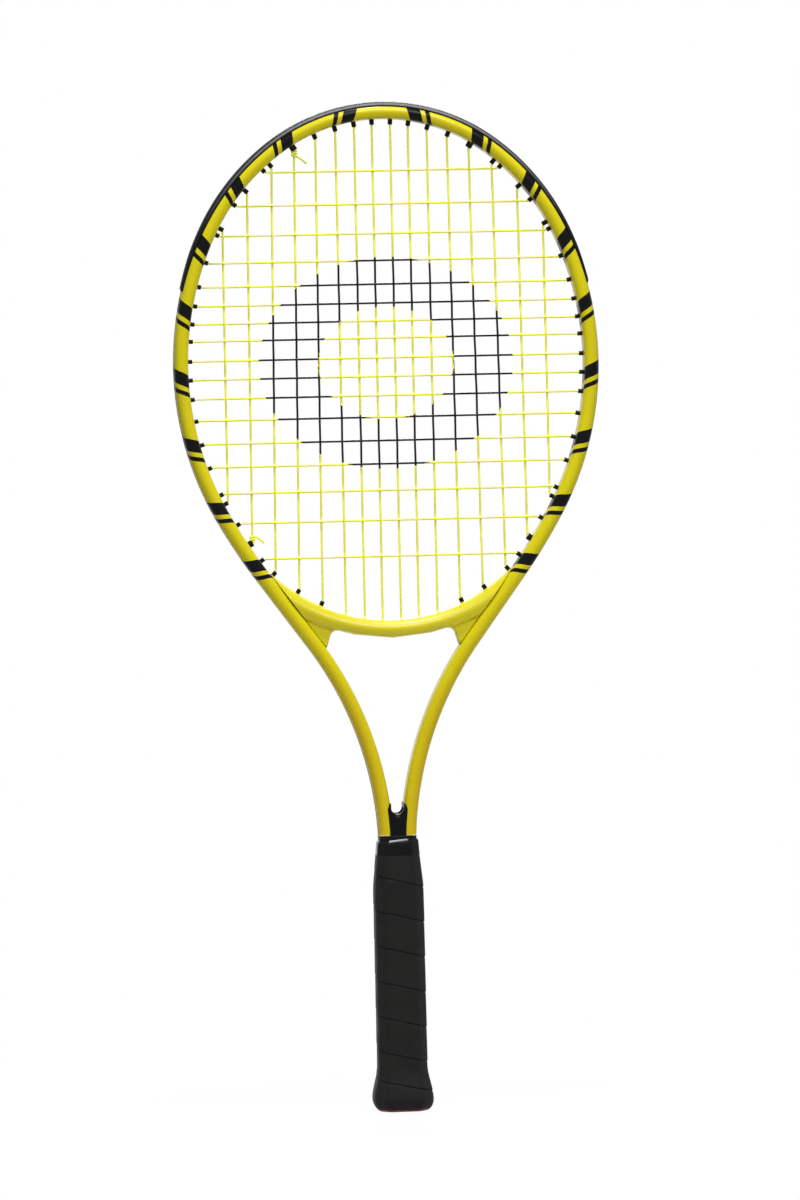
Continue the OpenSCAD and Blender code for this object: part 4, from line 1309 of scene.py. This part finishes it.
# %% Plug and its matt notch
plug_black = moulded_black("plug_black", 9, 0.5, (0.24, 0.36), 0.09)
notch_matt = moulded_black("notch_matt", 10, 0.5, (0.6, 0.75), 0.0)
plug_fork = make_piece(
    "plug_fork", [ring_surface(plug_rings)], plug_black, ["throat_plug"], crease=35)
plug_fork.data.materials.append(notch_matt)
column = np.arange(plug_rings.shape[1])
notch_from = side_points + prong_points - 1
in_notch = (column >= notch_from) & (column < len(column) - notch_from - 1)
middle_ring = np.abs(plug_rings[:-1, 0, 1]) < plug_d / 2 - saddle_r
faces_in_notch = (middle_ring[:, None] & in_notch[None]).ravel()
plug_fork.data.polygons.foreach_set("material_index", np.append(faces_in_notch, [0, 0]).astype(np.int32))
print("matt faces in the notch:", int(faces_in_notch.sum()))

# %% [markdown]
# ## Bumper
#
# A strip of hard rubber arches over the tip of the head and thins out towards its ends. Its barrels reach
# through the tube and stand out inside the head, where they keep the strings off the metal. A curve with a
# bevel could follow the tube, but its section stays the same all along. So the strip is a sweep with a
# section that changes on the way, and each barrel is a small turned profile.

# %% Bumper strip
bumper_turn = 76.0
bumper_end_s = np.interp(bumper_turn, arc_end_h, arc_end_s)
thin_over = 30.0
thin_edge = 0.12
end_t = 1.4
end_round = 3.0
narrow_over = 70.0
wrap_end = 0.9
wrap_tip = 1.8
arch_power = 3
under_gap = 0.08
side_over = 0.15
arch_steps = np.sin(np.linspace(-np.pi / 2, np.pi / 2, 41))


def bumper_sections(s):
    """One outline per place: outside an arch of height (wrap + thickness) * (1 - |f|^3)^(1/3), for f from -1
    to 1 across; inside the tube's own oval. Wrap and thickness shrink towards the ends."""
    to_end = bumper_end_s - np.abs(s)[:, None]
    wrap = wrap_end + (wrap_tip - wrap_end) * smooth_step(to_end, 0, narrow_over)
    rounded = np.sqrt(1 - (1 - np.clip(to_end / end_round, 0, 1)) ** 2)
    full = end_t + (bumper_t - end_t) * smooth_step(to_end, 0, thin_over)
    thick = thin_edge + (full - thin_edge) * rounded
    edge = tube_w / 2
    flat = (tube_d - tube_w) / 2
    half = flat + np.sqrt(edge ** 2 - (edge - wrap) ** 2)
    f = arch_steps[None]
    arch = edge - wrap + (wrap + thick) * (1 - np.abs(f) ** arch_power) ** (1 / arch_power)
    y = half * f[:, ::-1]
    oval = np.sqrt(edge ** 2 - np.clip(np.abs(y) - flat, 0, edge) ** 2) + under_gap
    outer = np.stack([arch, (half + side_over) * f], -1)
    return np.concatenate([outer, np.stack([oval, y], -1)], 1)


def bumper_rubber():
    """Black rubber with a painted highlight: grey along both flanks, most of all near the tip, mottled by
    noise.
    """
    material, tree, shader = new_finish("bumper_rubber", Specular_IOR_Level=0.03)
    along, across = uv_place(tree)
    # Painted highlight: a grey band along both flanks of the strip, strongest near the tip, where light
    # catches them.
    flank = math(tree, "MULTIPLY", spread(tree, across, 0.0, 1.0, 0.85, 0.93),
                 spread(tree, across, 1.0, 0.0, 0.985, 0.998))
    near_tip = spread(tree, math(tree, "ABSOLUTE", along), 1.0, 0.05, 45, 150)
    wear_and_highlight = math(tree, "MULTIPLY", flank, near_tip)
    painted_highlight = math(tree, "MULTIPLY", wear_and_highlight, spread(tree, noise(tree, 4, 5), 0.7, 1.0))
    rubber = blend(tree, painted_highlight, srgb(13, 13, 14), srgb(136, 137, 143))
    dress(tree, shader, rubber, noise(tree, 3, 5), (0.4, 0.52))
    relief(tree, shader, noise(tree, 0.8, 4), 0.02, 0.6)
    return material


strip_s = np.linspace(-bumper_end_s, bumper_end_s, 241)
strip_v = np.concatenate([np.abs(arch_steps), np.ones(len(arch_steps) + 1)])
strip_rings = ring_surface(sweep(strip_s, bumper_sections(strip_s)), strip_s, strip_v)
make_piece("bumper_strip", [strip_rings], bumper_rubber(), ["bumper_guard"], crease=50)

# %% Barrels under the bumper
main_barrel = (3.2, 1.9, 0.6)
tied_barrel = (4.6, 3.5, 0.6)
cross_barrel = (3.2, 1.9, -0.2)
rim_back = np.array([0.5, 0.15, 0.0])
rim_less = np.array([0.0, 0.2, 0.5])
bore_lip = 0.2


def barrel(s, diameter, bore, longer):
    """A profile of (outwards, radius) turned round a hole's axis: along the outside, over a rounded rim and
    back through the bore."""
    inmost = -inset - longer
    out = np.concatenate([[floor_d], inmost + rim_back, [inmost, inmost + bore_lip, floor_d]])
    r = np.concatenate([[diameter], diameter - rim_less, [bore + bore_lip, bore, bore]]) / 2
    angle = np.linspace(0, 2 * np.pi, 20, endpoint=False)
    h = np.radians(np.interp(abs(s), arc_end_s, arc_end_h))
    tangent = np.array([np.sign(s) * np.cos(h), -np.sin(h)])
    x_z = tube_point(s, out)[:, None] + (r[:, None] * np.cos(angle))[..., None] * tangent
    rings = np.stack([x_z[..., 0], r[:, None] * np.sin(angle), x_z[..., 1]], -1)
    return ring_surface(closed_loop(rings), caps=False)


holes = [(hole, tied_barrel if i == tied_main else main_barrel) for i, hole in enumerate(tip_s)]
holes += [(hole, cross_barrel) for hole in cross_s[cross_s < bumper_end_s]]
barrels = [barrel(side * hole, *sizes) for hole, sizes in holes for side in (1, -1)]
strip_black = moulded_black("strip_black", 10, 0.4, (0.34, 0.5))
make_piece("bumper_barrels", barrels, strip_black, [], crease=50)
print("barrels under the bumper:", len(barrels))

# %% [markdown]
# ## Finishes of the parts that stay
#
# The grommet strips, rivets and staples keep their CAD shape, because that is already the real one. They
# only need a real finish in place of a flat colour.

# %% Strips and fasteners
def bright_steel():
    """Drawn steel: metallic, with fine drawing lines."""
    material, tree, shader = new_finish("bright_steel", Metallic=1.0)
    lines = noise(tree, 0.4, 2, (8, 1, 1))
    dress(tree, shader, blend(tree, lines, srgb(170, 170, 172), srgb(204, 204, 204)), lines, (0.25, 0.4))
    relief(tree, shader, lines, 0.01)
    return material


kept_nodes = {
    "left_grommet_strip": strip_black,
    "right_grommet_strip": strip_black,
    "left_throat_strip": strip_black,
    "right_throat_strip": strip_black,
    "bridge_rivets": bright_steel(),
    "butt_staples": bright_steel(),
}
for node, finish in kept_nodes.items():
    for place in nodes[node].material_slots:
        place.material = finish
print("new finishes on", len(kept_nodes), "kept nodes")

# %% [markdown]
# ## Studio
#
# The racket stands on a pale floor in front of white. The world is white to the eye and to mirrors, but
# lights the racket only gently. Three soft lamps do most of the rest, and a narrow one from the side picks
# out the handle. A white backdrop lit by lamps would spill light on the racket, so the floor glows white to
# the camera for most of its brightness and is lit for the remainder, and the contact shadow stays.

# %% World
def seen_directly(tree):
    """1 for rays from the camera or from a mirror or glass, 0 for light that only fills shadows."""
    path = tree.nodes.new("ShaderNodeLightPath").outputs
    shiny = math(tree, "MAXIMUM", path["Is Glossy Ray"], path["Is Transmission Ray"])
    return math(tree, "MAXIMUM", path["Is Camera Ray"], shiny)


white = (1.0, 1.0, 1.0, 1.0)
fill_level = 0.14
fill_tint = (1.0, 0.86, 0.56)
world = bpy.data.worlds.new("studio_white")
bpy.context.scene.world = world
world.use_nodes = True
sky = world.node_tree.nodes["Background"]
seen = seen_directly(world.node_tree)
fill = tuple(fill_level * share for share in fill_tint) + (1.0,)
connect(world.node_tree, blend(world.node_tree, seen, fill, white), sky.inputs["Color"])
print("world fill:", [round(value, 3) for value in fill[:3]])

# %% Floor
floor_r_mm = 450.0
floor_drop = 0.2
floor_tone = 0.76
floor_glow = 0.95


def floor_white():
    """White floor: mostly its own glow to the camera, partly lit, so that a soft shadow stays."""
    tone = (floor_tone, floor_tone, floor_tone, 1)
    material, tree, shader = new_finish("floor_white", Base_Color=tone, Roughness=0.9)
    glow = tree.nodes.new("ShaderNodeEmission")
    mix = tree.nodes.new("ShaderNodeMixShader")
    connect(tree, math(tree, "MULTIPLY", seen_directly(tree), floor_glow), mix.inputs[0])
    tree.links.new(shader.outputs[0], mix.inputs[1])
    tree.links.new(glow.outputs[0], mix.inputs[2])
    tree.links.new(mix.outputs[0], tree.nodes["Material Output"].inputs["Surface"])
    return material


disc_angle = np.linspace(0, 2 * np.pi, 96, endpoint=False)
disc = np.stack([np.cos(disc_angle), np.sin(disc_angle), 0 * disc_angle], -1) * floor_r_mm
floor_mesh = bpy.data.meshes.new("floor")
floor_mesh.from_pydata((disc - [0, 0, floor_drop]) * MM, [], [list(range(len(disc)))])
floor_mesh.materials.append(floor_white())
floor = new_object("floor", floor_mesh)
print("floor radius", floor_r_mm, "mm")


# %% Lamps
cone_blur = 0.6
steep = 0.9


def turn_matrix(place, axes):
    """The place and turn of an object whose own axes are the columns of axes."""
    return Matrix.Translation(place) @ Matrix(axes.tolist()).to_4x4()


def soft_lamp(name, place, target, size, watts, cone=None):
    """A square area lamp that looks at a point, or, with a cone in degrees, a spot of the same width.

    Its own z axis is the unit vector back from the target, and its x axis is level."""
    lamp = bpy.data.lights.new(name, "SPOT" if cone else "AREA")
    lamp.energy = watts
    if cone:
        lamp.shadow_soft_size = size / 2
        lamp.spot_size = np.radians(cone)
        lamp.spot_blend = cone_blur
    else:
        lamp.size = size
    back = np.array(place) - np.array(target)
    back = back / np.linalg.norm(back)
    side = np.cross([0, 1, 0] if abs(back[2]) > steep else [0, 0, 1], back)
    side = side / np.linalg.norm(side)
    axes = np.stack([side, np.cross(back, side), back], -1)
    new_object(name, lamp).matrix_world = turn_matrix(place, axes)


soft_lamp("lamp_above", (0.0, -0.6, 3.0), (0, 0, 0.4), 0.45, 52)
soft_lamp("lamp_front", (0.2, -1.4, 1.5), (0, 0, 0.4), 0.7, 19.2)
soft_lamp("lamp_side", (2.6, -0.6, 0.2), (0, 0, 0.06), 0.9, 60, cone=6)
soft_lamp("lamp_rear", (0.2, 2.4, 2.0), (0, 0, 0.4), 1.2, 66)
print("lamps:", len(bpy.data.lights))

# %% [markdown]
# ## Camera
#
# The photograph was taken from far off, a little to the left and slightly above, with the racket leaning a
# touch to the left in the frame. A long lens at four metres gives the same flat view. The camera's three
# axes are worked out from those angles, and the racket's own size sets the scale.

# %% Camera
image_w = 800
image_h = 1200
mm_per_pixel = 0.680
axis_pixel = (392.0, 614.7)
axis_point_z = 337.8
distance = 4000.0
sensor_mm = 36
far_m = 50
yaw = np.radians(5.5)
pitch = np.radians(2.0)
roll = np.radians(1.31)
forward = np.array([np.sin(yaw) * np.cos(pitch), np.cos(yaw) * np.cos(pitch), -np.sin(pitch)])
level = np.array([np.cos(yaw), -np.sin(yaw), 0])
upright = np.cross(level, forward)
right = np.cos(roll) * level - np.sin(roll) * upright
up = np.cos(roll) * upright + np.sin(roll) * level
aside = (image_w / 2 - axis_pixel[0]) * mm_per_pixel
above = (axis_pixel[1] - image_h / 2) * mm_per_pixel
target = np.array([0, 0, axis_point_z]) + aside * right + above * up
eye = target - distance * forward
lens = bpy.data.cameras.new("camera")
lens.sensor_fit = "VERTICAL"
lens.sensor_height = sensor_mm
lens.lens = sensor_mm * distance / (image_h * mm_per_pixel)
lens.clip_end = far_m
camera = new_object("camera", lens)
camera.matrix_world = turn_matrix(eye * MM, np.stack([right, up, -forward], -1))
bpy.context.scene.camera = camera
bpy.context.scene.view_settings.view_transform = "Standard"
print("lens", round(lens.lens, 1), "mm at", distance / 1000, "m")
